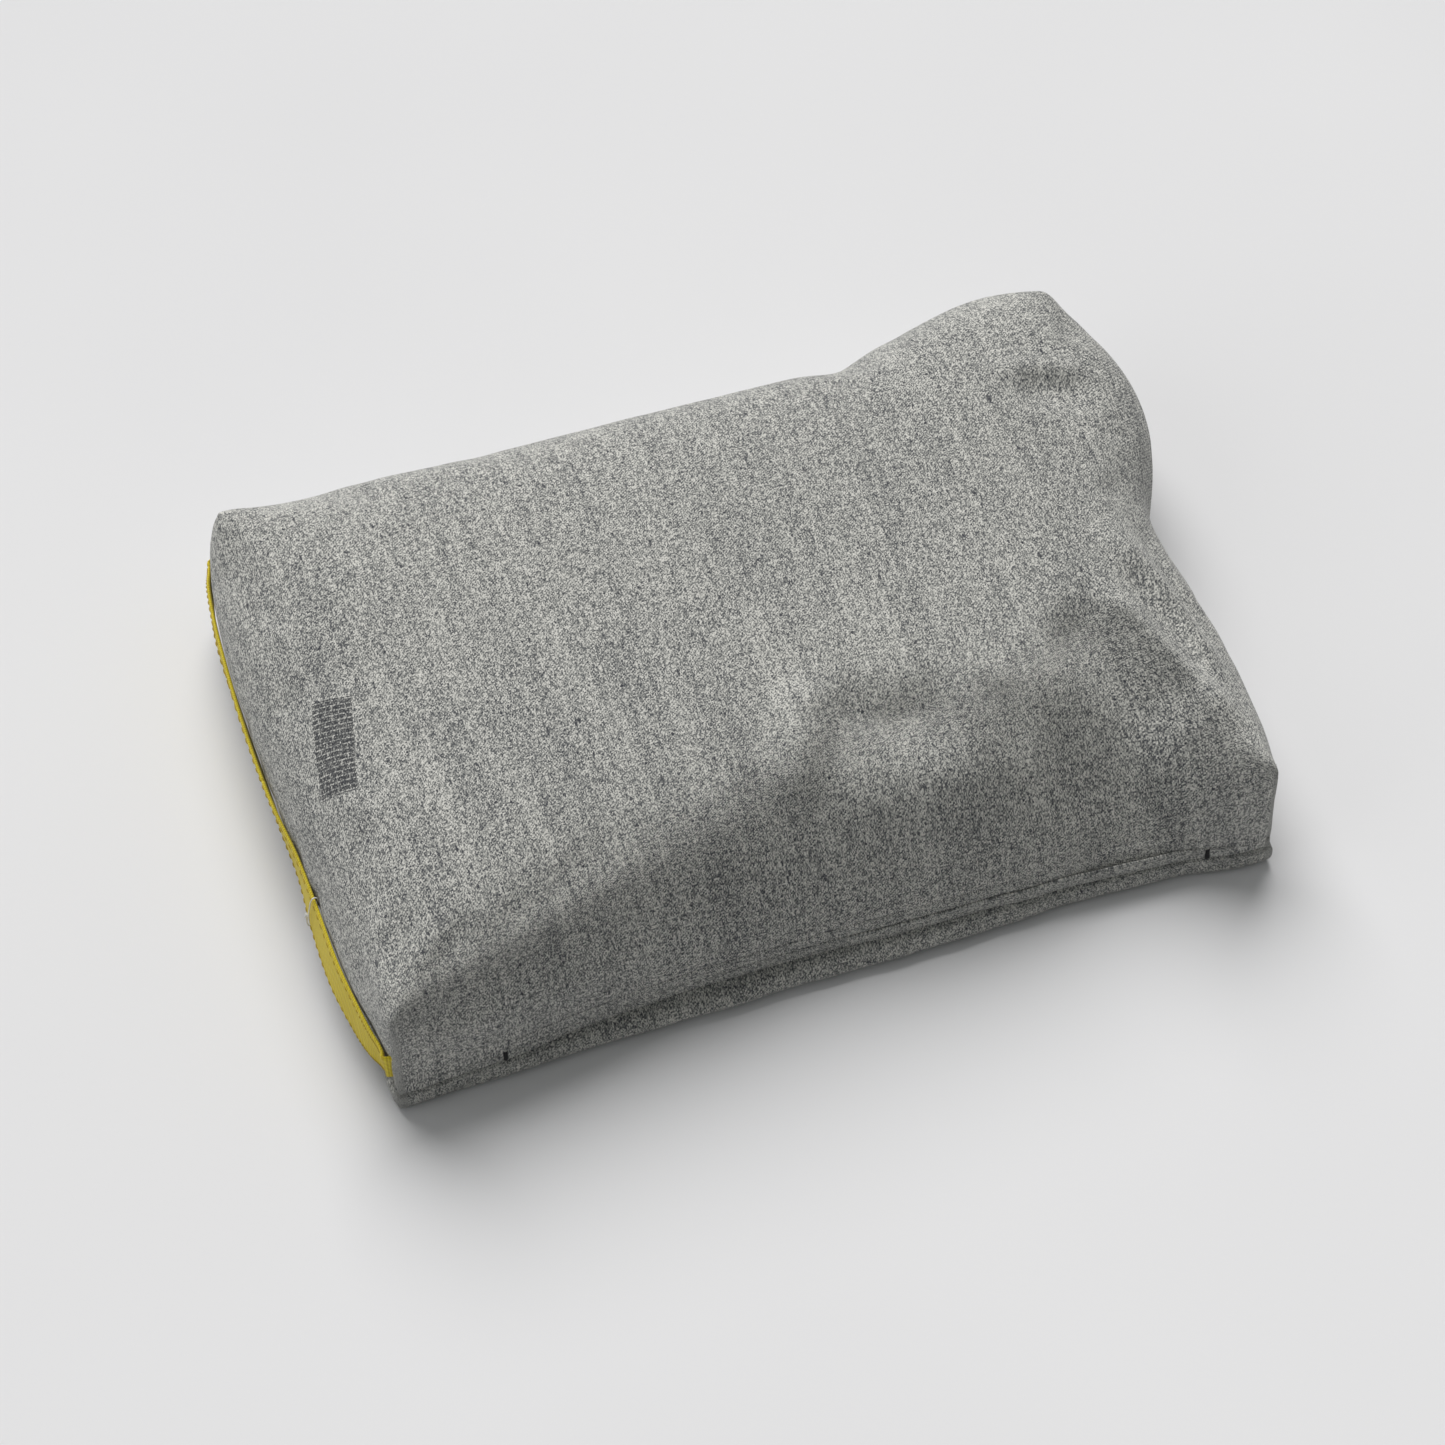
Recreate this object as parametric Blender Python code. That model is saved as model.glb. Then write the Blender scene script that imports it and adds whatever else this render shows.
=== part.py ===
"""Camp pillow: a stuffed inner cushion in a boxed cover with a concealed zip and a webbing carry strap.

Metres, +Z up. X runs along the long side with the strap at -X, Y across, and the zip side faces -Y.
The origin is the middle of the footprint, on the surface that the pillow lies on.
"""

from math import cos, pi, radians, sin, tan

import bmesh
import bpy
from mathutils import Matrix, Vector

# Cover: overall shape
HALF_LENGTH = 0.2495  # middle to the corner seams, along X
HALF_WIDTH = 0.1755  # middle to the corner seams, along Y
SEAM_HEIGHT = 0.0150  # lower edge of the top panel
SIDE_HEIGHT = 0.0480  # level at which the walls are steered
EDGE_HEIGHT = 0.0930  # top edge of the walls, at the corners
CROWN_HEIGHT = 0.1200  # control height of the middle of the top
LEFT_SWELL = 0.0210  # how far the stuffing pushes out the strap end
RIGHT_SWELL = 0.0460  # the same at the other end, towards its far corner
FAR_SWELL = 0.0300
NEAR_PULL = 0.0100  # how far the long sides draw in between their corners
FAR_PULL = 0.0130
SEAM_TUCK = 0.0020  # how far the seam lies inside the widest part of the wall
CORNER_CREASE = 0.75  # sharpness of the sewn corners
SIDE_GROW = -0.0010  # the outline at the steering level and at the top edge, against the corner seams
EDGE_GROW = 0.0060
LOW_SWELL = 0.20  # shares of the swells that the walls take, from the seam up
SIDE_SHARE = 0.55

# Cloth, and the gap left between pieces that touch
COVER_CLOTH = 0.0009
CASE_CLOTH = 0.0007
GAP = 0.0003

# Lower edge of the cover: the bottom panel's rim is lapped inside the top panel
LAP = 0.0045
ROLL_HEIGHT = 0.0065  # where the bottom panel bulges out over the floor
ROLL_OUT = 0.0020
ROLL_OUT_NEAR = 0.0060  # more of it along the near side, between the corners
FLOOR_INSET = 0.0050  # where the bottom panel leaves the floor, inside the roll
ZIP_SETBACK = 0.0042  # the rim steps back by this much more behind the zip
RIM_DROP = 0.0015  # the rim's step lies this far under the seam
RIM_STEP = 0.0025

# Inner cushion
CASE_SIDE_GAP = 0.0125
CASE_ZIP_SETBACK = 0.0098  # its near side stays behind the zip
CASE_TOP_GAP = 0.0035
CASE_SEAM_HEIGHT = 0.0500
CASE_SEAM_OUT = 0.0020
CASE_FOOT_INSET = 0.0060
CASE_SEAM_SWELL = 0.40
CASE_TOP_SWELL = 0.80

# Zip
ZIP_LEFT = 0.0635 - HALF_LENGTH
ZIP_RIGHT = HALF_LENGTH - 0.0395
ZIP_HEIGHT = 0.0245  # centre of the chain
STOP_SETBACK = 0.0040  # end of the coils, in from the end of the fly
COIL_START = 0.0060
BOTTOM_STOP_START = 0.0030
STOP_LENGTH = 0.0027
STOP_PROUD = 0.0004
FLY_TOP = 0.0330
FLY_CLOTH = 2 * COVER_CLOTH  # the fly is a folded edge
TAPE_CLOTH = 0.0005
TAPE_WIDTH = 0.0110
TAPE_LANDING = 0.0030  # the upper tape's flat edge behind the top of the fly
COIL_RADIUS = 0.0010
COIL_OFFSET = 0.00145  # coil centre to the middle of the chain
SLIDER_LENGTH = 0.0105
SLIDER_HALF_WIDTH = 0.0042
PLATE = 0.0006
COIL_CLEARANCE = 0.00035
POST_LENGTH = 0.0030
BRIDGE_WIDTH = 0.0016
BRIDGE_LENGTH = 0.0076
BRIDGE_BAR = 0.0008
PULL_THICKNESS = 0.0010
PULL_LENGTH = 0.0190
PULL_WIDTH = 0.0056
PULL_HOLE_LENGTH = 0.0056
PULL_HOLE_WIDTH = 0.0028
TACK_WIDTH = 0.0018
TACK_LENGTH = 0.0080
TACK_THICKNESS = 0.0007
TACK_LIFT = 0.0010  # above the seam

# Carry strap, round the -X end. Its route is (share of the half width, stand-off of its middle from the
# end wall, lean), from the near sewn end to the far one. Lean is in degrees, and positive where the upper
# edge tips away from the pillow.
STRAP_WIDTH = 0.0250
STRAP_THICKNESS = 0.0022
STRAP_HEIGHT = 0.0365  # middle of the webbing
STRAP_SEAT = STRAP_THICKNESS / 2 + 1.3 * GAP
STRAP_ROUTE = [
    (-0.968, STRAP_SEAT, 4),
    (-0.945, STRAP_SEAT, 4),
    (-0.910, 0.0022, 0),
    (-0.865, 0.0036, -5),
    (-0.780, 0.0050, -9),
    (-0.600, 0.0034, -12),
    (-0.400, 0.0038, -10),
    (-0.200, 0.0047, -1),
    (0.000, 0.0095, 6),
    (0.200, 0.0113, 8),
    (0.450, 0.0120, 5),
    (0.700, 0.0133, 0),
    (0.860, 0.0136, 0),
    (0.925, 0.0112, 1),
    (0.950, 0.0050, 3),
    (0.970, STRAP_SEAT, 4),
]
SEWN_SHARE = 0.075  # share of the strap's route that is sewn down at each end
STITCH_INSET = 0.0022
STITCH_WIDTH = 0.0009
STITCH_THICKNESS = 0.0004
TAG_LOOP_SHARE = 0.41  # where the tag's thread hangs, as a share of the route
THREAD_RADIUS = 0.00045

# Control stations of the cushion shapes, as shares of the half length and half width
U_STATIONS = (-1.0, -0.80, -0.28, 0.28, 0.80, 1.0)
V_STATIONS = (-1.0, -0.72, 0.0, 0.72, 1.0)
ZIP_STATIONS = (-0.6, -0.3, 0.0, 0.3, 0.6)  # where the zip is fitted to the cloth beside it
EDGE_BITE = 0.0020  # how far inside a cloth edge it is fitted


# ---------------------------------------------------------------- scene and materials


def clear_scene():
    for old in list(bpy.data.objects):
        bpy.data.objects.remove(old, do_unlink=True)


def material(name, colour, roughness, metallic=0.0):
    made = bpy.data.materials.get(name)
    if made:
        return made
    made = bpy.data.materials.new(name)
    made.use_nodes = True
    shader = made.node_tree.nodes["Principled BSDF"]
    shader.inputs["Base Color"].default_value = (*colour, 1.0)
    shader.inputs["Roughness"].default_value = roughness
    shader.inputs["Metallic"].default_value = metallic
    return made


def add_object(name, mesh, finish=None):
    made = bpy.data.objects.new(name, mesh)
    bpy.context.scene.collection.objects.link(made)
    if finish:
        # Each piece has its own material.
        mesh.materials.append(material(name, *finish))
    return made


GREY_CLOTH = ((0.33, 0.33, 0.32), 0.92)
WHITE_CLOTH = ((0.78, 0.77, 0.73), 0.90)
WADDING = ((0.86, 0.86, 0.84), 0.95)
YELLOW_WEBBING = ((0.58, 0.49, 0.06), 0.75)
YELLOW_THREAD = ((0.45, 0.30, 0.03), 0.70)
BLACK_THREAD = ((0.02, 0.02, 0.02), 0.70)
WHITE_THREAD = ((0.80, 0.80, 0.78), 0.70)
GREY_TAPE = ((0.20, 0.20, 0.20), 0.85)
GREY_NYLON = ((0.16, 0.16, 0.16), 0.45)
NICKEL = ((0.55, 0.54, 0.52), 0.30, 1.0)


# ---------------------------------------------------------------- cushion shapes


def one_sided(t):
    """A swell on the positive half only: 0 at 0 and 1, and 1 at its peak."""
    return 2.6 * t * (1 - t * t) if t > 0 else 0.0


def plan(u, v, grow, swell, setback=0.0):
    """Plan position of the point at shares u, v of the outline, grown, with a share of the swells."""
    x = u * (HALF_LENGTH + grow)
    y = v * (HALF_WIDTH + grow)
    if u > 0:
        x += u * u * swell * RIGHT_SWELL * one_sided(v)
    else:
        x -= u * u * swell * LEFT_SWELL * (1 - v * v)
    if v > 0:
        y += v * v * (swell * FAR_SWELL * one_sided(u) - FAR_PULL * (1 - u * u))
    else:
        y += v * v * (NEAR_PULL + setback) * (1 - u**6)
    return x, y


def crown(edge, top):
    """Height of a domed face, from edge at its rim to top in the middle."""
    return lambda u, v: edge + (top - edge) * (1 - u**4) * (1 - v**4)


def level(z):
    return lambda u, v: z


def perimeter():
    """Station indices round the outline, anticlockwise from the near left corner."""
    last_u = len(U_STATIONS) - 1
    last_v = len(V_STATIONS) - 1
    return (
        [(i, 0) for i in range(last_u)]
        + [(last_u, j) for j in range(last_v)]
        + [(i, last_v) for i in range(last_u, 0, -1)]
        + [(0, j) for j in range(last_v, 0, -1)]
    )


def cage(name, rings, bottom=None, top=None, corner_crease=0.0, creased_ring=None):
    """A control cage: rings from low to high, each (height, grow, swell, setback), and closing faces.

    A face is (height function, grow, swell) for the points inside the lowest or highest ring.
    """
    bm = bmesh.new()
    crease = bm.edges.layers.float.new("crease_edge")
    around = perimeter()
    ends = ((0, len(U_STATIONS) - 1), (0, len(V_STATIONS) - 1))
    corners = [(i, j) for i, j in around if i in ends[0] and j in ends[1]]

    def vertex(i, j, height, grow, swell, setback=0.0):
        u, v = U_STATIONS[i], V_STATIONS[j]
        return bm.verts.new((*plan(u, v, grow, swell, setback), height(u, v)))

    loops = [{ij: vertex(*ij, *ring) for ij in around} for ring in rings]
    for low, high in zip(loops, loops[1:]):
        for here, there in zip(around, around[1:] + around[:1]):
            bm.faces.new((low[here], low[there], high[there], high[here]))
        for ij in corners:
            bm.edges.get((low[ij], high[ij]))[crease] = corner_crease
    if creased_ring is not None:
        loop = loops[creased_ring]
        for here, there in zip(around, around[1:] + around[:1]):
            bm.edges.get((loop[here], loop[there]))[crease] = 1.0
    for face, rim, upward in ((bottom, loops[0], False), (top, loops[-1], True)):
        if not face:
            continue
        inside = {
            (i, j): vertex(i, j, *face)
            for i in range(1, len(U_STATIONS) - 1)
            for j in range(1, len(V_STATIONS) - 1)
        }
        grid = {**rim, **inside}
        for i in range(len(U_STATIONS) - 1):
            for j in range(len(V_STATIONS) - 1):
                quad = [grid[i, j], grid[i + 1, j], grid[i + 1, j + 1], grid[i, j + 1]]
                bm.faces.new(quad if upward else quad[::-1])
    mesh = bpy.data.meshes.new(name)
    bm.to_mesh(mesh)
    bm.free()
    mesh.shade_smooth()
    return mesh


def smooth(target, levels):
    modifier = target.modifiers.new("Smooth", "SUBSURF")
    modifier.levels = levels
    modifier.render_levels = levels


def shell(target, thickness):
    """Gives an open surface its cloth thickness, inwards."""
    modifier = target.modifiers.new("Cloth", "SOLIDIFY")
    modifier.thickness = thickness
    modifier.offset = -1


def shrink(target, distance):
    modifier = target.modifiers.new("Shrink", "DISPLACE")
    modifier.mid_level = 0.0
    modifier.strength = -distance


def top_panel_cage(name):
    rings = [
        (level(SEAM_HEIGHT + GAP / 2), -SEAM_TUCK, LOW_SWELL),
        (level(SIDE_HEIGHT), SIDE_GROW, SIDE_SHARE),
        (level(EDGE_HEIGHT), EDGE_GROW, 1.0),
    ]
    top = (crown(EDGE_HEIGHT, CROWN_HEIGHT), EDGE_GROW, 1.0)
    return cage(name, rings, top=top, corner_crease=CORNER_CREASE)


def bottom_panel_cage(name):
    lapped = -SEAM_TUCK - COVER_CLOTH - GAP
    foot = ROLL_OUT - SEAM_TUCK - FLOOR_INSET
    rings = [
        (level(0), foot, LOW_SWELL, -ROLL_OUT_NEAR),
        (level(ROLL_HEIGHT), ROLL_OUT - SEAM_TUCK, LOW_SWELL, -ROLL_OUT_NEAR),
        (level(SEAM_HEIGHT - RIM_DROP), lapped - RIM_STEP, LOW_SWELL, ZIP_SETBACK / 2),
        (level(SEAM_HEIGHT + LAP), lapped, LOW_SWELL, ZIP_SETBACK),
    ]
    bottom = (level(0), foot, LOW_SWELL)
    return cage(name, rings, bottom=bottom, corner_crease=CORNER_CREASE)


def case_rings(part):
    """Rings of the inner cushion: its lower half, its upper half or the whole."""
    floor = COVER_CLOTH + GAP
    low = [
        (level(floor), -CASE_SIDE_GAP - CASE_FOOT_INSET, LOW_SWELL, CASE_ZIP_SETBACK),
        (level(CASE_SEAM_HEIGHT / 2), -CASE_SIDE_GAP, LOW_SWELL, CASE_ZIP_SETBACK),
    ]
    high = [(level(EDGE_HEIGHT - CASE_TOP_GAP), -CASE_SIDE_GAP, CASE_TOP_SWELL)]
    seam = CASE_SEAM_HEIGHT + {"lower": -GAP / 2, "upper": GAP / 2, "whole": 0.0}[part]
    middle = [(level(seam), CASE_SEAM_OUT - CASE_SIDE_GAP, CASE_SEAM_SWELL, CASE_ZIP_SETBACK)]
    return {"lower": low + middle, "upper": middle + high, "whole": low + middle + high}[part]


def case_bottom():
    return (level(COVER_CLOTH + GAP), -CASE_SIDE_GAP - CASE_FOOT_INSET, LOW_SWELL)


def case_top():
    height = crown(EDGE_HEIGHT - CASE_TOP_GAP, CROWN_HEIGHT - CASE_TOP_GAP)
    return (height, -CASE_SIDE_GAP, CASE_TOP_SWELL)


# ---------------------------------------------------------------- small solids


def box_mesh(name, low, high):
    bm = bmesh.new()
    bmesh.ops.create_cube(bm, size=1.0)
    size = Vector(high) - Vector(low)
    middle = (Vector(high) + Vector(low)) / 2
    bm.transform(Matrix.Translation(middle) @ Matrix.Diagonal((*size, 1.0)))
    mesh = bpy.data.meshes.new(name)
    bm.to_mesh(mesh)
    bm.free()
    return mesh


def helper_box(name, low, high):
    """A box that only cuts or adds to another piece."""
    helper = add_object(name, box_mesh(name, low, high))
    helper.hide_render = True
    helper.display_type = "WIRE"
    return helper


def combine(target, helper, operation):
    modifier = target.modifiers.new(helper.name, "BOOLEAN")
    modifier.operation = operation
    modifier.solver = "EXACT"
    modifier.object = helper


def sweep(name, sections, closed=False):
    """A solid through rings of points, each ring in the same order, capped at both ends unless closed."""
    bm = bmesh.new()
    rings = [[bm.verts.new(point) for point in section] for section in sections]
    count = len(rings[0])
    pairs = list(zip(rings, rings[1:]))
    if closed:
        pairs.append((rings[-1], rings[0]))
    for here, there in pairs:
        for k in range(count):
            bm.faces.new((here[k], here[(k + 1) % count], there[(k + 1) % count], there[k]))
    if not closed:
        bm.faces.new(rings[0][::-1])
        bm.faces.new(rings[-1])
    bmesh.ops.recalc_face_normals(bm, faces=bm.faces)
    mesh = bpy.data.meshes.new(name)
    bm.to_mesh(mesh)
    bm.free()
    return mesh


def circle(middle, across, up, radius, sides):
    angles = [2 * pi * k / sides for k in range(sides)]
    return [middle + across * (radius * cos(a)) + up * (radius * sin(a)) for a in angles]


# ---------------------------------------------------------------- cover and cushion


def build_cover():
    top = add_object("cover_top_panel", top_panel_cage("cover_top_panel"), GREY_CLOTH)
    smooth(top, 2)
    shell(top, COVER_CLOTH)
    near = -1.3 * HALF_WIDTH  # the cutters take in the whole near wall and nothing else
    inside = -HALF_WIDTH / 2
    low = (ZIP_LEFT, near, -SEAM_HEIGHT)
    combine(top, helper_box("fly_cut", low, (ZIP_RIGHT, inside, FLY_TOP)), "DIFFERENCE")

    fly = add_object("zip_fly", top_panel_cage("zip_fly"), GREY_CLOTH)
    smooth(fly, 2)
    shell(fly, FLY_CLOTH)
    low = (ZIP_LEFT + GAP, near, -SEAM_HEIGHT)
    high = (ZIP_RIGHT - GAP, inside, FLY_TOP - GAP)
    combine(fly, helper_box("fly_keep", low, high), "INTERSECT")

    bottom = add_object("cover_bottom_panel", bottom_panel_cage("cover_bottom_panel"), GREY_CLOTH)
    smooth(bottom, 2)
    shell(bottom, COVER_CLOTH)
    return top, fly, bottom


def build_inner_cushion():
    upper = cage("inner_case_top", case_rings("upper"), top=case_top())
    lower = cage("inner_case_bottom", case_rings("lower"), bottom=case_bottom())
    for mesh in (upper, lower):
        case = add_object(mesh.name, mesh, WHITE_CLOTH)
        smooth(case, 1)
        shell(case, CASE_CLOTH)
    whole = cage("fibre_fill", case_rings("whole"), bottom=case_bottom(), top=case_top(), creased_ring=2)
    fill = add_object("fibre_fill", whole, WADDING)
    smooth(fill, 1)
    shrink(fill, CASE_CLOTH + GAP)


def outer_face(panel, origin, direction):
    """Where a ray from outside first meets a finished panel."""
    graph = bpy.context.evaluated_depsgraph_get()
    hit, place, _, _ = panel.evaluated_get(graph).ray_cast(Vector(origin), Vector(direction))
    if not hit:
        raise ValueError(f"nothing of {panel.name} in front of {origin}")
    return place


def build_tacks(top):
    """The bar tacks that close the fly at its two ends, on the panel beside the fly."""
    for side, x in (("left", ZIP_LEFT - 2 * TACK_WIDTH), ("right", ZIP_RIGHT + 2 * TACK_WIDTH)):
        z = SEAM_HEIGHT + TACK_LENGTH / 2 + TACK_LIFT
        faces = [
            outer_face(top, (x + dx, -1.0, z + dz), (0, 1, 0)).y
            for dx in (-TACK_WIDTH, TACK_WIDTH)
            for dz in (-TACK_LENGTH / 2, TACK_LENGTH / 2)
        ]
        back = min(faces) - GAP
        low = (x - TACK_WIDTH / 2, back - TACK_THICKNESS, z - TACK_LENGTH / 2)
        high = (x + TACK_WIDTH / 2, back, z + TACK_LENGTH / 2)
        name = f"fly_bar_tack_{side}"
        add_object(name, box_mesh(name, low, high), BLACK_THREAD)


# ---------------------------------------------------------------- zip


def chain_y(bottom):
    """Y of the chain: just inside the bottom panel's rim, which the lower tape is sewn to."""
    rim = SEAM_HEIGHT + LAP - EDGE_BITE
    outer = max(outer_face(bottom, (u * HALF_LENGTH, -1.0, rim), (0, 1, 0)).y for u in ZIP_STATIONS)
    return outer + COVER_CLOTH + GAP + TAPE_CLOTH / 2


def tape(name, path):
    """A tape along the zip, with the (y, z) path as the middle of its section."""
    half = TAPE_CLOTH / 2
    front, back = [], []
    for k, (y, z) in enumerate(path):
        before, after = path[max(k - 1, 0)], path[min(k + 1, len(path) - 1)]
        run = Vector((after[0] - before[0], after[1] - before[1])).normalized()
        front.append((y - run.y * half, z + run.x * half))
        back.append((y + run.y * half, z - run.x * half))
    outline = front + back[::-1]
    sections = [[Vector((x, y, z)) for y, z in outline] for x in (ZIP_LEFT, ZIP_RIGHT)]
    add_object(name, sweep(name, sections), GREY_TAPE)


def build_chain(y, fly):
    """The two tapes and the two coils."""
    start = COIL_OFFSET + COIL_RADIUS + GAP
    bend = SLIDER_HALF_WIDTH + 2 * GAP
    level_inside = FLY_TOP - EDGE_BITE
    fly_back = max(outer_face(fly, (u * HALF_LENGTH, 0.0, level_inside), (0, -1, 0)).y for u in ZIP_STATIONS)
    seat = fly_back + 2 * GAP + TAPE_CLOTH / 2
    rise = max(FLY_TOP - TAPE_LANDING - ZIP_HEIGHT, bend + 2 * TAPE_CLOTH)
    upper = [(y, start), (y, bend), (seat, rise), (seat, rise + TAPE_LANDING)]
    tape("zip_tape_upper", [(a, ZIP_HEIGHT + b) for a, b in upper])
    lower = [(y, -start - TAPE_WIDTH), (y, -start)]
    tape("zip_tape_lower", [(a, ZIP_HEIGHT + b) for a, b in lower])
    along, across, up = Vector((1, 0, 0)), Vector((0, 1, 0)), Vector((0, 0, 1))
    for side, sign in (("upper", 1), ("lower", -1)):
        middle = Vector((0, y, ZIP_HEIGHT + sign * COIL_OFFSET))
        ends = (ZIP_LEFT + COIL_START, ZIP_RIGHT - STOP_SETBACK)
        sections = [circle(middle + along * x, across, up, COIL_RADIUS, 8) for x in ends]
        mesh = sweep(f"zip_coil_{side}", sections)
        add_object(mesh.name, mesh, GREY_NYLON)


def build_stops(y):
    """A bottom stop across both coils at the left, and a top stop on each coil at the right."""
    half = COIL_RADIUS + STOP_PROUD
    left = ZIP_LEFT + BOTTOM_STOP_START
    reach = COIL_OFFSET + COIL_RADIUS
    low = (left, y - half, ZIP_HEIGHT - reach)
    add_object(
        "zip_bottom_stop",
        box_mesh("zip_bottom_stop", low, (left + STOP_LENGTH, y + half, ZIP_HEIGHT + reach)),
        NICKEL,
    )
    right = ZIP_RIGHT - STOP_SETBACK + GAP
    for side, sign in (("upper", 1), ("lower", -1)):
        near, far = sorted((sign * (COIL_OFFSET - COIL_RADIUS), sign * reach))
        low = (right, y - half, ZIP_HEIGHT + near)
        high = (right + STOP_LENGTH, y + half, ZIP_HEIGHT + far)
        name = f"zip_top_stop_{side}"
        add_object(name, box_mesh(name, low, high), NICKEL)


def build_slider(y):
    """The slider round both coils with the pull's bridge, and the pull lying along the chain."""
    channel = COIL_RADIUS + COIL_CLEARANCE
    front = y - channel - PLATE
    back = y + channel + PLATE
    half = SLIDER_LENGTH / 2
    wide = SLIDER_HALF_WIDTH
    bite = PLATE / 3  # how far neighbouring blocks of the slider run into each other
    right = ZIP_RIGHT - STOP_SETBACK - GAP  # closed, against the top stops
    middle = Vector((right - half, 0, ZIP_HEIGHT))

    def at(low, high):
        return Vector(low) + middle, Vector(high) + middle

    plate = at((-half, front, -wide), (half, front + PLATE, wide))
    slider = add_object("zip_slider", box_mesh("zip_slider", *plate), NICKEL)
    blocks = {"back_plate": ((-half, back - PLATE, -wide), (half, back, wide))}
    slot = TAPE_CLOTH / 2 + COIL_CLEARANCE
    rim = 2 * PLATE
    for side, low, high in (("low", -wide, -wide + rim), ("high", wide - rim, wide)):
        blocks[f"front_flange_{side}"] = ((-half, front + PLATE - bite, low), (half, y - slot, high))
        blocks[f"back_flange_{side}"] = ((-half, y + slot, low), (half, back - PLATE + bite, high))
    thin = COIL_OFFSET - COIL_RADIUS - GAP
    blocks["post"] = ((half - POST_LENGTH, front + PLATE - bite, -thin), (half, back - PLATE + bite, thin))
    arch = PULL_THICKNESS + 2 * GAP
    foot = BRIDGE_BAR
    for side, low in (("left", -BRIDGE_LENGTH / 2), ("right", BRIDGE_LENGTH / 2 - foot)):
        blocks[f"bridge_foot_{side}"] = (
            (low, front - arch - BRIDGE_BAR, -BRIDGE_WIDTH / 2),
            (low + foot, front + bite, BRIDGE_WIDTH / 2),
        )
    blocks["bridge_bar"] = (
        (-BRIDGE_LENGTH / 2 + bite, front - arch - BRIDGE_BAR, -BRIDGE_WIDTH / 2),
        (BRIDGE_LENGTH / 2 - bite, front - arch, BRIDGE_WIDTH / 2),
    )
    for name, (low, high) in blocks.items():
        combine(slider, helper_box(name, *at(low, high)), "UNION")

    axis = Vector((middle.x, front - GAP - PULL_THICKNESS / 2, ZIP_HEIGHT))
    hinge = bpy.data.objects.new("pull_axis", None)
    hinge.location = axis
    bpy.context.scene.collection.objects.link(hinge)
    eye = PULL_THICKNESS / 2
    low = (eye - PULL_LENGTH, -PULL_THICKNESS / 2, -PULL_WIDTH / 2)
    high = (eye, PULL_THICKNESS / 2, PULL_WIDTH / 2)
    pull = add_object("zip_pull", box_mesh("zip_pull", low, high), NICKEL)
    pull.parent = hinge
    low = (-eye - PULL_HOLE_LENGTH, -PULL_THICKNESS, -PULL_HOLE_WIDTH / 2)
    hole = helper_box("pull_hole", low, (-eye, PULL_THICKNESS, PULL_HOLE_WIDTH / 2))
    hole.parent = hinge
    combine(pull, hole, "DIFFERENCE")


# ---------------------------------------------------------------- strap


def spline_point(points, share):
    """A point of the smooth curve through the points, each a tuple of numbers."""
    spans = len(points) - 1
    k = min(int(share * spans), spans - 1)
    t = share * spans - k
    a, b, c, d = (Vector(points[min(max(k + n, 0), spans)]) for n in (-1, 0, 1, 2))
    return 0.5 * (2 * b + (c - a) * t + (2 * a - 5 * b + 4 * c - d) * t**2 + (3 * b - a - 3 * c + d) * t**3)


def strap_route(top):
    """The strap's route as (x, y, z, lean), with each stand-off clear of the finished top panel."""
    edge = STRAP_WIDTH / 2
    points = []
    for share, stand_off, lean in STRAP_ROUTE:
        y = share * HALF_WIDTH
        wall = min(
            outer_face(top, (-1.0, y, STRAP_HEIGHT + dz), (1, 0, 0)).x + tan(radians(lean)) * dz
            for dz in (-edge, 0, edge)
        )
        points.append((wall - stand_off, y, STRAP_HEIGHT, lean))
    return points


def strap_frame(route, share):
    """Middle, width direction and outward direction of the webbing at a share of its route."""
    here = spline_point(route, share)
    step = 0.1 / len(route)
    run = spline_point(route, min(share + step, 1.0)) - spline_point(route, max(share - step, 0.0))
    run = Vector(run[:3]).normalized()
    upright = Vector((0, 0, 1))
    outward = upright.cross(run).normalized() * -1
    outward = outward if outward.x < 0 else -outward
    lean = radians(here[3])
    width = (upright * cos(lean) + outward * sin(lean)).normalized()
    outward = run.cross(width).normalized()
    outward = outward if outward.x < 0 else -outward
    return Vector(here[:3]), width, outward


def ribbon(name, route, first, last, count, low, high, inner, outer, finish):
    """A band along the strap's route, from low to high across it and from inner to outer off its middle."""
    sections = []
    for k in range(count + 1):
        middle, width, outward = strap_frame(route, first + (last - first) * k / count)
        corners = ((low, inner), (high, inner), (high, outer), (low, outer))
        sections.append([middle + width * a + outward * b for a, b in corners])
    return add_object(name, sweep(name, sections), finish)


def build_strap(route):
    """The free run of the webbing, its two sewn ends, and the two rows of stitching on its outer face."""
    half = STRAP_WIDTH / 2
    thick = STRAP_THICKNESS / 2
    # Half of the gap between the free run and a sewn end, as a share of the route
    sewn_length = (strap_frame(route, SEWN_SHARE)[0] - strap_frame(route, 0.0)[0]).length
    split = GAP / 2 * SEWN_SHARE / sewn_length
    free = (SEWN_SHARE + split, 1 - SEWN_SHARE - split)
    webbing = (-half, half, -thick, thick, YELLOW_WEBBING)
    ribbon("strap", route, *free, 48, *webbing)
    ribbon("strap_sewn_end_front", route, 0.0, SEWN_SHARE - split, 4, *webbing)
    ribbon("strap_sewn_end_back", route, 1 - SEWN_SHARE + split, 1.0, 4, *webbing)
    row = half - STITCH_INSET
    face = thick + GAP
    for side, sign in (("upper", 1), ("lower", -1)):
        low, high = sorted((sign * row, sign * (row - STITCH_WIDTH)))
        name = f"strap_stitching_{side}"
        ribbon(name, route, *free, 48, low, high, face, face + STITCH_THICKNESS, YELLOW_THREAD)


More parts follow.
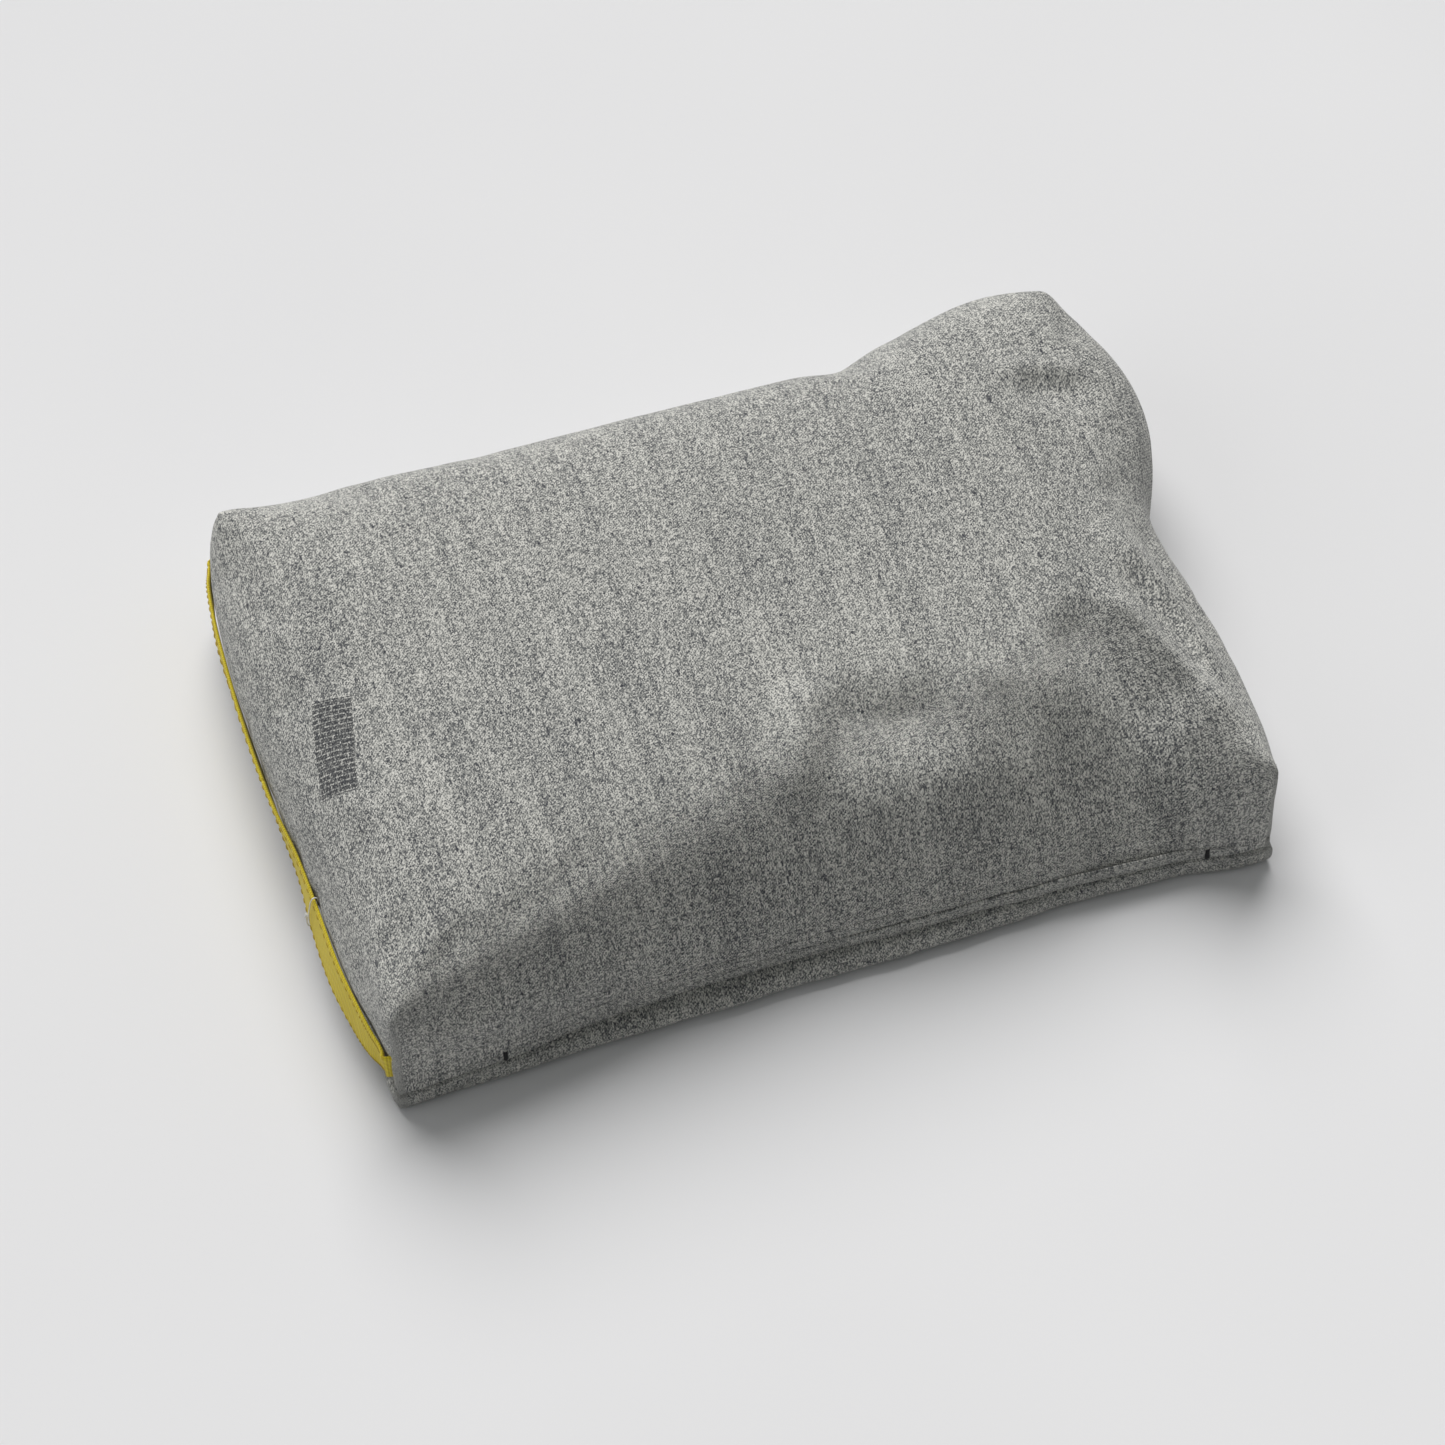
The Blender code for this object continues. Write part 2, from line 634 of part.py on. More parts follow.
def build_tag_loop(route):
    """The loop of thread left from a hang tag, round the strap."""
    middle, width, outward = strap_frame(route, TAG_LOOP_SHARE)
    along = width.cross(outward).normalized()
    wide = STRAP_WIDTH / 2 + GAP + THREAD_RADIUS
    deep = STRAP_THICKNESS / 2 + 2 * GAP + STITCH_THICKNESS + THREAD_RADIUS
    turns = 32
    power = 0.22  # squares the loop off, so that it follows the webbing's section
    sections = []
    for k in range(turns):
        angle = 2 * pi * k / turns
        c, s = cos(angle), sin(angle)
        square = (abs(c) ** (2 / power) + abs(s) ** (2 / power)) ** (-power / 2)
        centre = middle + width * (wide * c * square) + outward * (deep * s * square)
        radial = (width * c * deep + outward * s * wide).normalized()
        sections.append(circle(centre, radial, along, THREAD_RADIUS, 6))
    add_object("tag_thread_loop", sweep("tag_thread_loop", sections, closed=True), WHITE_THREAD)


def centre_on_origin():
    """Moves the whole pillow so that the middle of its footprint is the origin."""
    graph = bpy.context.evaluated_depsgraph_get()
    solids = [o for o in bpy.data.objects if o.type == "MESH" and not o.hide_render]
    finished = [o.evaluated_get(graph) for o in solids]
    corners = [o.matrix_world @ Vector(c) for o in finished for c in o.bound_box]
    low = Vector(min(c[k] for c in corners) for k in range(2))
    high = Vector(max(c[k] for c in corners) for k in range(2))
    middle = (low + high) / 2
    for loose in [o for o in bpy.data.objects if not o.parent]:
        loose.location -= Vector((*middle, 0.0))


def main():
    clear_scene()
    top, fly, bottom = build_cover()
    build_inner_cushion()
    bpy.context.view_layer.update()
    build_tacks(top)
    y = chain_y(bottom)
    build_chain(y, fly)
    build_stops(y)
    build_slider(y)
    route = strap_route(top)
    build_strap(route)
    build_tag_loop(route)
    bpy.context.view_layer.update()
    centre_on_origin()
    bpy.context.view_layer.update()


main()
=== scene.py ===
"""Looks of the camp pillow: cloth cover, carry strap, threads, zip and stuffing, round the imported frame."""

from math import cos, pi, radians, sin, tan

import bpy
import numpy as np
from mathutils import Matrix, Vector, bvhtree, noise


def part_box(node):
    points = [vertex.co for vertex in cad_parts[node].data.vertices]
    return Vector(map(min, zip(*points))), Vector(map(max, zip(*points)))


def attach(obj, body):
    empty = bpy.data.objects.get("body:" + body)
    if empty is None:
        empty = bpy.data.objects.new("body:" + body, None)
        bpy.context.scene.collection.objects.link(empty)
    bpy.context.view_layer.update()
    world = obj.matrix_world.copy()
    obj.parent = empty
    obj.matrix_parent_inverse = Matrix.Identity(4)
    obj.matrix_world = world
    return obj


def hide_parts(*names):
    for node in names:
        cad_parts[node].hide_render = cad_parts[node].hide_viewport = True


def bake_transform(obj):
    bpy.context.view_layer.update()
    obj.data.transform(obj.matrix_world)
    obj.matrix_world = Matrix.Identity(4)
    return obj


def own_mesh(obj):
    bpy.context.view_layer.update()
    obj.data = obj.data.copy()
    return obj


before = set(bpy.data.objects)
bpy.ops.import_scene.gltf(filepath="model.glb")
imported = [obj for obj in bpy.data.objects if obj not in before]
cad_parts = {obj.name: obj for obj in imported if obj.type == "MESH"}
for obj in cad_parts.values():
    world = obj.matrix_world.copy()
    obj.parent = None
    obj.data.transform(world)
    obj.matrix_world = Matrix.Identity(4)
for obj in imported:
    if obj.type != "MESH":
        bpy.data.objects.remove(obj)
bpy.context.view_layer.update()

# ---------------------------------------------------------------- sizes

# Shapes are laid out from the middle between the corner seams. The frame's origin, the middle of the
# footprint, is a little off it: SHIFT is added to every layout point.
SHIFT = Vector((-0.00063, -0.00531, 0.0))
HALF_LENGTH = 0.2495
HALF_WIDTH = 0.1755
SEAM_Z = 0.0155  # folded lower edge of the top panel
CLOTH = 0.0010
FLY_TOP = 0.0327

# Top panel: cells of the grid over the top, and rows down the walls
CELLS_X = 144
CELLS_Y = 102
WALL_ROWS = 26


def mm(*rows):
    """Rows given in millimetres, as tuples of metres."""
    return [tuple(value / 1000 for value in row) for row in rows]


# How far each wall stands outside the line between its corner seams, at its fullest: (place, distance)
RIGHT_OUT = mm((-176, 0), (-150, 7), (-114, 12), (-43, 13), (0, 7.5), (18, 7), (36, 15), (60, 25),
               (95, 30.5), (130, 25), (157, 13), (170, 5), (176, 2))
LEFT_OUT = mm((-176, 1), (-140, 5), (-73, 11), (-4, 17.5), (54, 20), (100, 18.5), (140, 14.5), (165, 10),
              (176, 6))
FAR_OUT = mm((-250, 0), (-235, 7), (-200, 12.5), (-81, 10), (3, 8.3), (76, 8), (119, 6.2), (146, 11),
             (180, 19), (210, 22.5), (235, 15), (250, 3))
NEAR_IN = mm((-250, 0), (-225, 0.5), (-186, 3), (-141, 7.5), (-85, 10.5), (-22, 10), (37, 8), (102, 6),
             (158, 4), (205, 0), (235, -5), (250, -5))
FAR_IN = mm((-250, 1), (-220, 6), (-150, 11), (0, 13.5), (110, 15), (170, 7), (210, 2), (250, 1))
WALL_PROFILE = [(0.0, 0.30), (0.12, 0.45), (0.30, 0.85), (0.50, 1.00), (0.70, 0.92), (0.88, 0.55),
                (1.0, 0.10)]

CORNER_REACH = 0.045  # a corner seam holds the cloth this far from it
CORNER_RISE = 0.045  # and moves freely only above this height over the seam, by these shares
CORNER_GIVE = {(-1, -1): 0.40, (1, -1): 0.12, (-1, 1): 0.12, (1, 1): 0.32}
EVEN_FORM = 26  # rounds of evening out the boxed start
EVEN_STEP = 0.6  # share of the way to its neighbours that a point moves in a round
EDGE_Z = 0.0880  # where a wall meets the top
CROWN_Z = 0.1160
CROWN_SQUARE = 3.2  # powers of the crown's outline and of its fullness
CROWN_FULL = 0.62

# Where the top turns down to the near side, (x, y), and to the right end, (y, x)
FRONT_TURN = mm((-250, -168), (-238, -158), (-193, -149), (-146, -139), (-97, -127), (-53, -121),
                (-15, -104), (30, -97), (93, -96), (150, -80), (190, -66), (207, -85), (224, -122),
                (240, -160), (250, -174))
RIGHT_TURN = mm((-176, 249), (-150, 236), (-122, 224), (-85, 207), (-63, 200), (-40, 206), (-15, 218),
                (20, 230), (80, 242), (150, 242), (176, 248))
FRONT_ROUND = [(-0.250, 2.6), (-0.190, 2.2), (-0.100, 1.75), (0.000, 1.55), (0.120, 1.45), (0.200, 1.5),
               (0.250, 2.6)]
RIGHT_ROUND = [(-0.176, 2.6), (-0.120, 1.7), (-0.060, 1.6), (0.000, 1.8), (0.060, 2.3), (0.176, 2.6)]


def through(points, place):
    """Value of the smooth curve through (place, value) points, at one place or an array of them."""
    at, value = np.array(points, float).T
    slope = np.gradient(value, at)
    place = np.clip(np.asarray(place, float), at[0], at[-1])
    k = np.clip(np.searchsorted(at, place) - 1, 0, len(at) - 2)
    span = at[k + 1] - at[k]
    f = (place - at[k]) / span
    rise = (2 * f**3 - 3 * f**2 + 1) * value[k] + (3 * f**2 - 2 * f**3) * value[k + 1]
    return rise + span * ((f**3 - 2 * f**2 + f) * slope[k] + (f**3 - f**2) * slope[k + 1])


def ease(t):
    """Smooth step from 0 to 1."""
    t = np.clip(t, 0, 1)
    return t * t * (3 - 2 * t)


# ---------------------------------------------------------------- form of the top panel


class Skin:
    """The outer face of the top panel: a grid over the top, and walls of rows below its rim."""

    def __init__(self):
        columns, rows = CELLS_X + 1, CELLS_Y + 1
        top = np.arange(columns * rows).reshape(columns, rows)
        rim = [(i, 0) for i in range(CELLS_X)] + [(CELLS_X, j) for j in range(CELLS_Y)]
        rim += [(i, CELLS_Y) for i in range(CELLS_X, 0, -1)] + [(0, j) for j in range(CELLS_Y, 0, -1)]
        self.top, self.rim, self.round = top, rim, len(rim)
        first = columns * rows
        below = first + np.arange(WALL_ROWS * self.round).reshape(WALL_ROWS, self.round)
        walls = np.vstack([[top[i, j] for i, j in rim], below])  # row 0 is the rim itself
        self.walls = walls
        faces = []
        for i in range(CELLS_X):
            for j in range(CELLS_Y):
                faces.append((top[i, j], top[i + 1, j], top[i + 1, j + 1], top[i, j + 1]))
        for r in range(WALL_ROWS):
            for c in range(self.round):
                d = (c + 1) % self.round
                faces.append((walls[r, d], walls[r, c], walls[r + 1, c], walls[r + 1, d]))
        self.faces = np.array(faces, int)
        self.points = np.zeros((first + WALL_ROWS * self.round, 3))
        self.pattern = np.zeros((len(self.points), 2))  # place on the flat cloth, in metres
        edges = np.sort(np.vstack([self.faces[:, [k, (k + 1) % 4]] for k in range(4)]), axis=1)
        self.edges = np.unique(edges, axis=0)
        self.place()
        self.turn_front()
        self.turn_right()
        self.relax(EVEN_FORM, self.looseness())

    def place(self):
        """Boxed start: full walls, a crowned top."""
        u = np.linspace(-1, 1, CELLS_X + 1)[:, None] * np.ones((1, CELLS_Y + 1))
        v = np.ones((CELLS_X + 1, 1)) * np.linspace(-1, 1, CELLS_Y + 1)[None, :]
        shoulder = through(WALL_PROFILE, 1.0)
        x = u * HALF_LENGTH
        y = v * HALF_WIDTH
        x = x + shoulder * (through(RIGHT_OUT, y) * ease(u) - through(LEFT_OUT, y) * ease(-u))
        y = y + (shoulder * through(FAR_OUT, u * HALF_LENGTH) - through(FAR_IN, u * HALF_LENGTH)) * ease(v)
        y = y + through(NEAR_IN, u * HALF_LENGTH) * ease(-v)
        bell = ((1 - np.abs(u) ** CROWN_SQUARE) * (1 - np.abs(v) ** CROWN_SQUARE)) ** CROWN_FULL
        z = EDGE_Z + (CROWN_Z - EDGE_Z) * bell
        self.points[self.top] = np.stack([x, y, z], -1)
        self.pattern[self.top] = np.stack([u * HALF_LENGTH, v * HALF_WIDTH], -1)
        for c, (i, j) in enumerate(self.rim):
            pu, pv = u[i, j], v[i, j]
            px, py = pu * HALF_LENGTH, pv * HALF_WIDTH
            normal = np.array([(pu == 1) * 1.0 - (pu == -1), (pv == 1) * 1.0 - (pv == -1)])
            normal /= np.linalg.norm(normal)
            for r in range(1, WALL_ROWS + 1):
                h = 1 - r / WALL_ROWS
                grow = through(WALL_PROFILE, h)
                out_x = through(RIGHT_OUT, py) if pu == 1 else -through(LEFT_OUT, py) if pu == -1 else 0
                out_y = through(NEAR_IN, px) if pv == -1 else 0
                if pv == 1:
                    out_y = through(FAR_OUT, px) * grow - through(FAR_IN, px) * h**3
                z = SEAM_Z + (EDGE_Z - SEAM_Z) * h
                self.points[self.walls[r, c]] = (px + out_x * grow, py + out_y, z)
                drop = (1 - h) * (EDGE_Z - SEAM_Z)
                self.pattern[self.walls[r, c]] = np.array([px, py]) + normal * drop

    def turn(self, chains, turn_at, power, axis, sign):
        """Replaces the boxed edge along each chain by one rounded fall, from turn_at to the chain's end."""
        for on_top, wall in chains:
            chain = np.concatenate([on_top, wall])
            p = self.points[chain]
            cross = p[-1, 1 - axis]
            start = through(turn_at, cross) * sign
            reach = p[: len(on_top), axis] * sign
            first = int(np.clip(np.searchsorted(reach, start), 1, len(on_top) - 1))
            f = np.clip((start - reach[first - 1]) / (reach[first] - reach[first - 1]), 0, 1)
            begin = p[first - 1] + (p[first] - p[first - 1]) * f
            tail = p[first:]
            steps = np.linalg.norm(np.diff(np.vstack([begin, tail]), axis=0)[:, [axis, 2]], axis=1)
            angle = np.cumsum(steps) / np.sum(steps) * pi / 2
            e = 2 / through(power, cross)
            end = tail[-1].copy()
            tail[:, axis] = begin[axis] + (end[axis] - begin[axis]) * np.sin(angle) ** e
            tail[:, 2] = end[2] + (begin[2] - end[2]) * np.cos(angle).clip(0) ** e
            self.points[chain[first:]] = tail

    def turn_front(self):
        """The fall to the near side runs all the way to the seam."""
        chains = [(self.top[i, ::-1], self.walls[1:, i]) for i in range(1, CELLS_X)]
        self.turn(chains, FRONT_TURN, FRONT_ROUND, 1, -1)

    def turn_right(self):
        """The fall to the right end stops where the wall is fullest."""
        last = 1 + WALL_ROWS // 2
        chains = [(self.top[:, j], self.walls[1:last, CELLS_X + j]) for j in range(1, CELLS_Y)]
        self.turn(chains, RIGHT_TURN, RIGHT_ROUND, 0, 1)

    def looseness(self):
        """How far each point may be evened out: nothing along the seam, and little at the corner seams."""
        free = np.ones(len(self.points))
        free[self.walls[-1]] = 0
        corners = np.array([[a * HALF_LENGTH, b * HALF_WIDTH] for a in (-1, 1) for b in (-1, 1)])
        near = np.min(np.linalg.norm(self.points[:, None, :2] - corners[None], axis=2), axis=1)
        held = ease(near / CORNER_REACH)
        give = np.zeros(len(self.points))
        for (side, end), share in CORNER_GIVE.items():
            here = (self.points[:, 0] * side > 0) & (self.points[:, 1] * end > 0)
            give[here] = share
        give *= ease((self.points[:, 2] - SEAM_Z) / CORNER_RISE)
        return free * np.maximum(held, give)

    def relax(self, rounds, free):
        """Evens out the surface."""
        count = np.zeros(len(self.points))
        for side in (0, 1):
            np.add.at(count, self.edges[:, side], 1)
        for _ in range(rounds):
            total = np.zeros_like(self.points)
            np.add.at(total, self.edges[:, 0], self.points[self.edges[:, 1]])
            np.add.at(total, self.edges[:, 1], self.points[self.edges[:, 0]])
            self.points += (total / count[:, None] - self.points) * (EVEN_STEP * free[:, None])

    def stroke(self, line, width, height):
        """Raises a fold along a line of (x, y) points on the top, fading at its ends."""
        line = np.array(line, float)
        spans = np.linalg.norm(np.diff(line, axis=0), axis=1)
        length = spans.sum()
        best = np.full(len(self.points), np.inf)
        share = np.zeros(len(self.points))
        done = 0.0
        for a, b, span in zip(line, line[1:], spans):
            along = np.clip((self.points[:, :2] - a) @ (b - a) / span**2, 0, 1)
            away = np.linalg.norm(self.points[:, :2] - (a + along[:, None] * (b - a)), axis=1)
            closer = away < best
            best[closer] = away[closer]
            share[closer] = (done + along[closer] * span) / length
            done += span
        ends = ease(share / STROKE_END) * ease((1 - share) / STROKE_END)
        above = ease((self.points[:, 2] - STROKE_LOW_Z) / STROKE_RISE)
        normals = self.normals()
        lift = height * np.exp(-((best / width) ** 2)) * ends * above * ease(normals[:, 2] / STROKE_FACING)
        self.points += normals * lift[:, None]

    def normals(self):
        """Outward direction of the skin at each point."""
        quad = self.points[self.faces]
        face = np.cross(quad[:, 2] - quad[:, 0], quad[:, 3] - quad[:, 1])
        total = np.zeros_like(self.points)
        for k in range(4):
            np.add.at(total, self.faces[:, k], face)
        return total / np.maximum(np.linalg.norm(total, axis=1), 1e-12)[:, None]

    def level_row(self, row, z):
        """Slides the near wall's rows along it so that one of them runs level at z."""
        for i in range(1, CELLS_X):
            wall = self.walls[:, i]
            p = self.points[wall]
            t = self.pattern[wall]
            high = p[:, 2]
            k = int(np.argmax(high < z))
            f = (high[k - 1] - z) / (high[k - 1] - high[k])
            rows = np.arange(len(wall), dtype=float)
            at = k - 1 + f
            lower = at + (rows - row) * (rows[-1] - at) / (rows[-1] - row)
            wanted = np.where(rows <= row, rows * at / row, lower)
            for axis in range(3):
                self.points[wall, axis] = np.interp(wanted, rows, p[:, axis])
            for axis in range(2):
                self.pattern[wall, axis] = np.interp(wanted, rows, t[:, axis])


STROKE_LOW_Z = 0.030  # no fold of the top reaches below this
STROKE_RISE = 0.020  # and it grows to its height over this much above that
STROKE_FACING = 0.5  # folds fade out where the cloth turns down
STROKE_END = 0.25  # share of a fold's length over which each end dies out
# Folds of the top in millimetres: width, height, and the line of (x, y) that each follows
STROKES = [
    (7.5, 8, [(188, -40), (196, -55), (208, -78), (224, -117), (238, -152)]),
    (6.5, 5.5, [(205, -2), (214, -15), (224, -38), (233, -64), (242, -120)]),
    (7, -4.5, [(206, -30), (214, -42), (222, -62), (231, -84), (238, -115)]),
    (6.5, -3, [(226, 4), (235, -12), (240, -36), (246, -61), (249, -95)]),
    (8, 4, [(180, 113), (203, 111), (219, 109), (235, 104), (252, 97)]),
    (13, -5, [(200, 98), (217, 94), (229, 90), (244, 85)]),
    (11, 6.4, [(24, -56), (8, -76), (0, -100), (-14, -126)]),
    (17, -8.8, [(18, -78), (52, -92), (102, -94)]),
    (16, 5.4, [(-4, -122), (55, -130), (125, -128)]),
    (20, -9, [(160, -50), (186, -82), (205, -118), (212, -140)]),
    (5, 1.4, [(-95, 150), (-90, 80), (-87, 9), (-91, -57)]),
    (10, 1, [(-262, 71), (-219, 81), (-175, 98)]),
    (30, -1.6, [(-205, 60), (-200, 0), (-206, -60)]),
    (6, 2.6, [(-236, -100), (-241, -130), (-246, -165)]),
    (6, -2.4, [(-222, -112), (-231, -140), (-240, -162)]),
    (15, -4, [(110, 140), (117, 160), (120, 182)]),
]
STROKE_EVEN = 2  # rounds of evening out after the folds

# Settling of the top panel on its stuffing
FRAMES = 20
SLACK = 0.018  # share by which the cloth is larger than its form
SETTLING = {
    "quality": 5,
    "mass": 0.25,
    "tension_stiffness": 12,
    "compression_stiffness": 12,
    "shear_stiffness": 4,
    "bending_stiffness": 0.35,
    "use_pressure": True,
    "uniform_pressure_force": 4.0,
    "shrink_min": -SLACK,
    "vertex_group_mass": "pins",
}
MOST_MOVED = 0.0032
# The wall beside the zip stays as it is: it begins behind this line, and frees itself over these lengths
ZIP_CALM_FROM = -0.120
ZIP_CALM_DEEP = 0.030
ZIP_CALM_HIGH = 0.035

# Small waves of the lower edge: how far they go out and up, their pace from column to column, and their rows
HEM_WAVE_OUT = 0.0011
HEM_WAVE_UP = 0.00088
HEM_WAVE_PACE = 0.1173
HEM_WAVE_ROWS = 10


def bare_mesh(name, points, faces):
    """A mesh of points and faces, not yet in the scene."""
    mesh = bpy.data.meshes.new(name)
    mesh.from_pydata(np.asarray(points, float).tolist(), [], [[int(k) for k in face] for face in faces])
    mesh.update()
    return mesh


def settle(skin):
    """Presses the stuffing against slightly slack cloth, which gives it small folds of its own."""
    mesh = bare_mesh("settling", skin.points, skin.faces)
    cloth = bpy.data.objects.new("settling", mesh)
    bpy.context.scene.collection.objects.link(cloth)
    pins = cloth.vertex_groups.new(name="pins")
    pins.add([int(k) for k in skin.walls[-1]], 1.0, "REPLACE")
    modifier = cloth.modifiers.new("Cloth", "CLOTH")
    settings = modifier.settings
    for name, value in SETTLING.items():
        setattr(settings, name, value)
    settings.effector_weights.gravity = 0
    modifier.point_cache.frame_start = 1
    modifier.point_cache.frame_end = FRAMES
    for frame_number in range(1, FRAMES + 1):
        bpy.context.scene.frame_set(frame_number)
    done = cloth.evaluated_get(bpy.context.evaluated_depsgraph_get()).data
    settled = np.empty(len(skin.points) * 3)
    done.vertices.foreach_get("co", settled)
    moved = settled.reshape(-1, 3) - skin.points
    far = np.linalg.norm(moved, axis=1)
    kept = MOST_MOVED * np.tanh(far / MOST_MOVED) / np.maximum(far, 1e-9)
    bpy.data.objects.remove(cloth)
    bpy.data.meshes.remove(mesh)
    bpy.context.scene.frame_set(1)
    above_zip = ease((skin.points[:, 2] - FLY_TOP) / ZIP_CALM_HIGH)
    near_wall = ease((ZIP_CALM_FROM - skin.points[:, 1]) / ZIP_CALM_DEEP)
    free = skin.looseness() * (1 - near_wall * (1 - above_zip))
    skin.points += moved * (kept * free)[:, None]
    skin.relax(1, skin.looseness())


def wave_hem(skin):
    """Small waves where the cloth hangs free of the zip, dying out up the wall."""
    for step in range(1, HEM_WAVE_ROWS + 1):
        row = WALL_ROWS - HEM_WAVE_ROWS + step
        share = ease(step / HEM_WAVE_ROWS)
        for c, k in enumerate(skin.walls[row]):
            at = Vector((c * HEM_WAVE_PACE, 0.3, row * 0.05))
            skin.points[k, 1] += HEM_WAVE_OUT * noise.noise(at) * share
            skin.points[k, 2] += HEM_WAVE_UP * noise.noise(at + Vector((7.1, 3.3, 0))) * share


FLY_ROW = WALL_ROWS - 6  # the wall's row along the top of the fly
skin = Skin()
settle(skin)
for width, height, line in STROKES:
    skin.stroke(mm(*line), width / 1000, height / 1000)
skin.relax(STROKE_EVEN, skin.looseness())
wave_hem(skin)
skin.level_row(FLY_ROW, FLY_TOP)
skin.points += SHIFT

# ---------------------------------------------------------------- materials


WAVE_LENGTH = 0.31831  # between the bands of a wave texture of scale 1


class Finish:
    """A node material, with short calls to add to it."""

    def __init__(self, name, roughness=0.9, metallic=0.0, sheen=0.0, specular=0.5):
        self.material = bpy.data.materials.new(name)
        self.material.use_nodes = True
        self.tree = self.material.node_tree
        self.shader = self.tree.nodes["Principled BSDF"]
        self.shader.inputs["Roughness"].default_value = roughness
        self.shader.inputs["Metallic"].default_value = metallic
        self.shader.inputs["Sheen Weight"].default_value = sheen
        self.shader.inputs["Specular IOR Level"].default_value = specular

    def add(self, kind, inputs=(), **settings):
        node = self.tree.nodes.new(kind)
        for key, value in settings.items():
            setattr(node, key, value)
        for key, value in dict(inputs).items():
            if isinstance(value, bpy.types.NodeSocket):
                self.tree.links.new(value, node.inputs[key])
            else:
                node.inputs[key].default_value = value
        return node

    def cloth(self):
        """Place on the flat cloth, in metres."""
        return self.add("ShaderNodeAttribute", attribute_name="cloth").outputs["Vector"]

    def place(self):
        """Place in the frame, in metres."""
        return self.add("ShaderNodeTexCoord").outputs["Object"]

    def scaled(self, vector, scale, turn=0.0, move=(0, 0, 0)):
        inputs = {"Vector": vector, "Scale": scale, "Rotation": (0, 0, turn), "Location": move}
        return self.add("ShaderNodeMapping", inputs).outputs["Vector"]

    def noise(self, vector, scale, detail=2.0, roughness=0.5):
        inputs = {"Vector": vector, "Scale": scale, "Detail": detail, "Roughness": roughness}
        return self.add("ShaderNodeTexNoise", inputs).outputs["Fac"]

    def wave(self, vector, pitch, direction, distortion):
        """Even bands across a direction, pitch metres apart."""
        inputs = {"Vector": vector, "Scale": WAVE_LENGTH / pitch, "Distortion": distortion}
        node = self.add("ShaderNodeTexWave", inputs, bands_direction=direction)
        return node.outputs["Fac"]

    def math(self, operation, a, b=0.5):
        return self.add("ShaderNodeMath", {0: a, 1: b}, operation=operation).outputs[0]

    def span(self, value, low, high, to_low=0.0, to_high=1.0):
        """Value from low to high as to_low to to_high, held at its ends."""
        inputs = {0: value, 1: low, 2: high, 3: to_low, 4: to_high}
        return self.add("ShaderNodeMapRange", inputs).outputs[0]

    def mix(self, share, a, b):
        node = self.add("ShaderNodeMix", data_type="RGBA")
        for key, value in (("Factor", share), ("A", a), ("B", b)):
            socket = [s for s in node.inputs if s.name == key and s.enabled][0]
            if isinstance(value, bpy.types.NodeSocket):
                self.tree.links.new(value, socket)
            else:
                socket.default_value = value
        return [s for s in node.outputs if s.enabled][0]

    def colour(self, value):
        self.tree.links.new(value, self.shader.inputs["Base Color"])

    def roughness(self, value):
        self.tree.links.new(value, self.shader.inputs["Roughness"])

    def bump(self, height, distance, strength=1.0):
        inputs = {"Height": height, "Distance": distance, "Strength": strength}
        normal = self.add("ShaderNodeBump", inputs).outputs["Normal"]
        self.tree.links.new(normal, self.shader.inputs["Normal"])


# The cover's heathered twill
CLOTH_MIDDLE = (0.295, 0.299, 0.284, 1)
CLOTH_PALE = (0.680, 0.672, 0.630, 1)
CLOTH_DARK = (0.070, 0.074, 0.083, 1)
TONE_SPREAD = 0.36
CLOTH_FLECK = (0.030, 0.033, 0.045, 1)
YARN_CELL = (0.00056, 0.00086, 1.0)  # one yarn crossing
YARN_WEIGHT = 0.72
TWILL_PITCH = 0.0015
TWILL_TURN = radians(52)
TWILL_WEIGHT = 0.16
# Noises that mix its tone: stretch, scale, detail, roughness and weight
TONE_LAYERS = {
    "fibres": ((1.0, 0.70, 1.0), 2100, 2.0, 0.7, 0.40),
    "threads": ((1.0, 0.16, 1.0), 900, 1.0, 0.5, 0.46),
    "streaks": ((1.0, 0.035, 1.0), 210, 3.0, 0.7, 0.44),
    "broad": ((1.0, 0.12, 1.0), 24, 3.0, 0.6, 0.24),
    "wefts": ((0.12, 1.0, 1.0), 700, 2.0, 0.5, 0.34),
    "mottle": ((1.0, 1.0, 1.0), 12, 4.0, 0.6, 0.10),
}


def spots(finish, at, stretch, move, scale, low, high, most):
    """Share of rare spots: where a noise stands above low, up to most from high on."""
    field = finish.noise(finish.scaled(at, stretch, 0, move), scale, 0.0)
    return finish.span(field, low, high, 0.0, most)


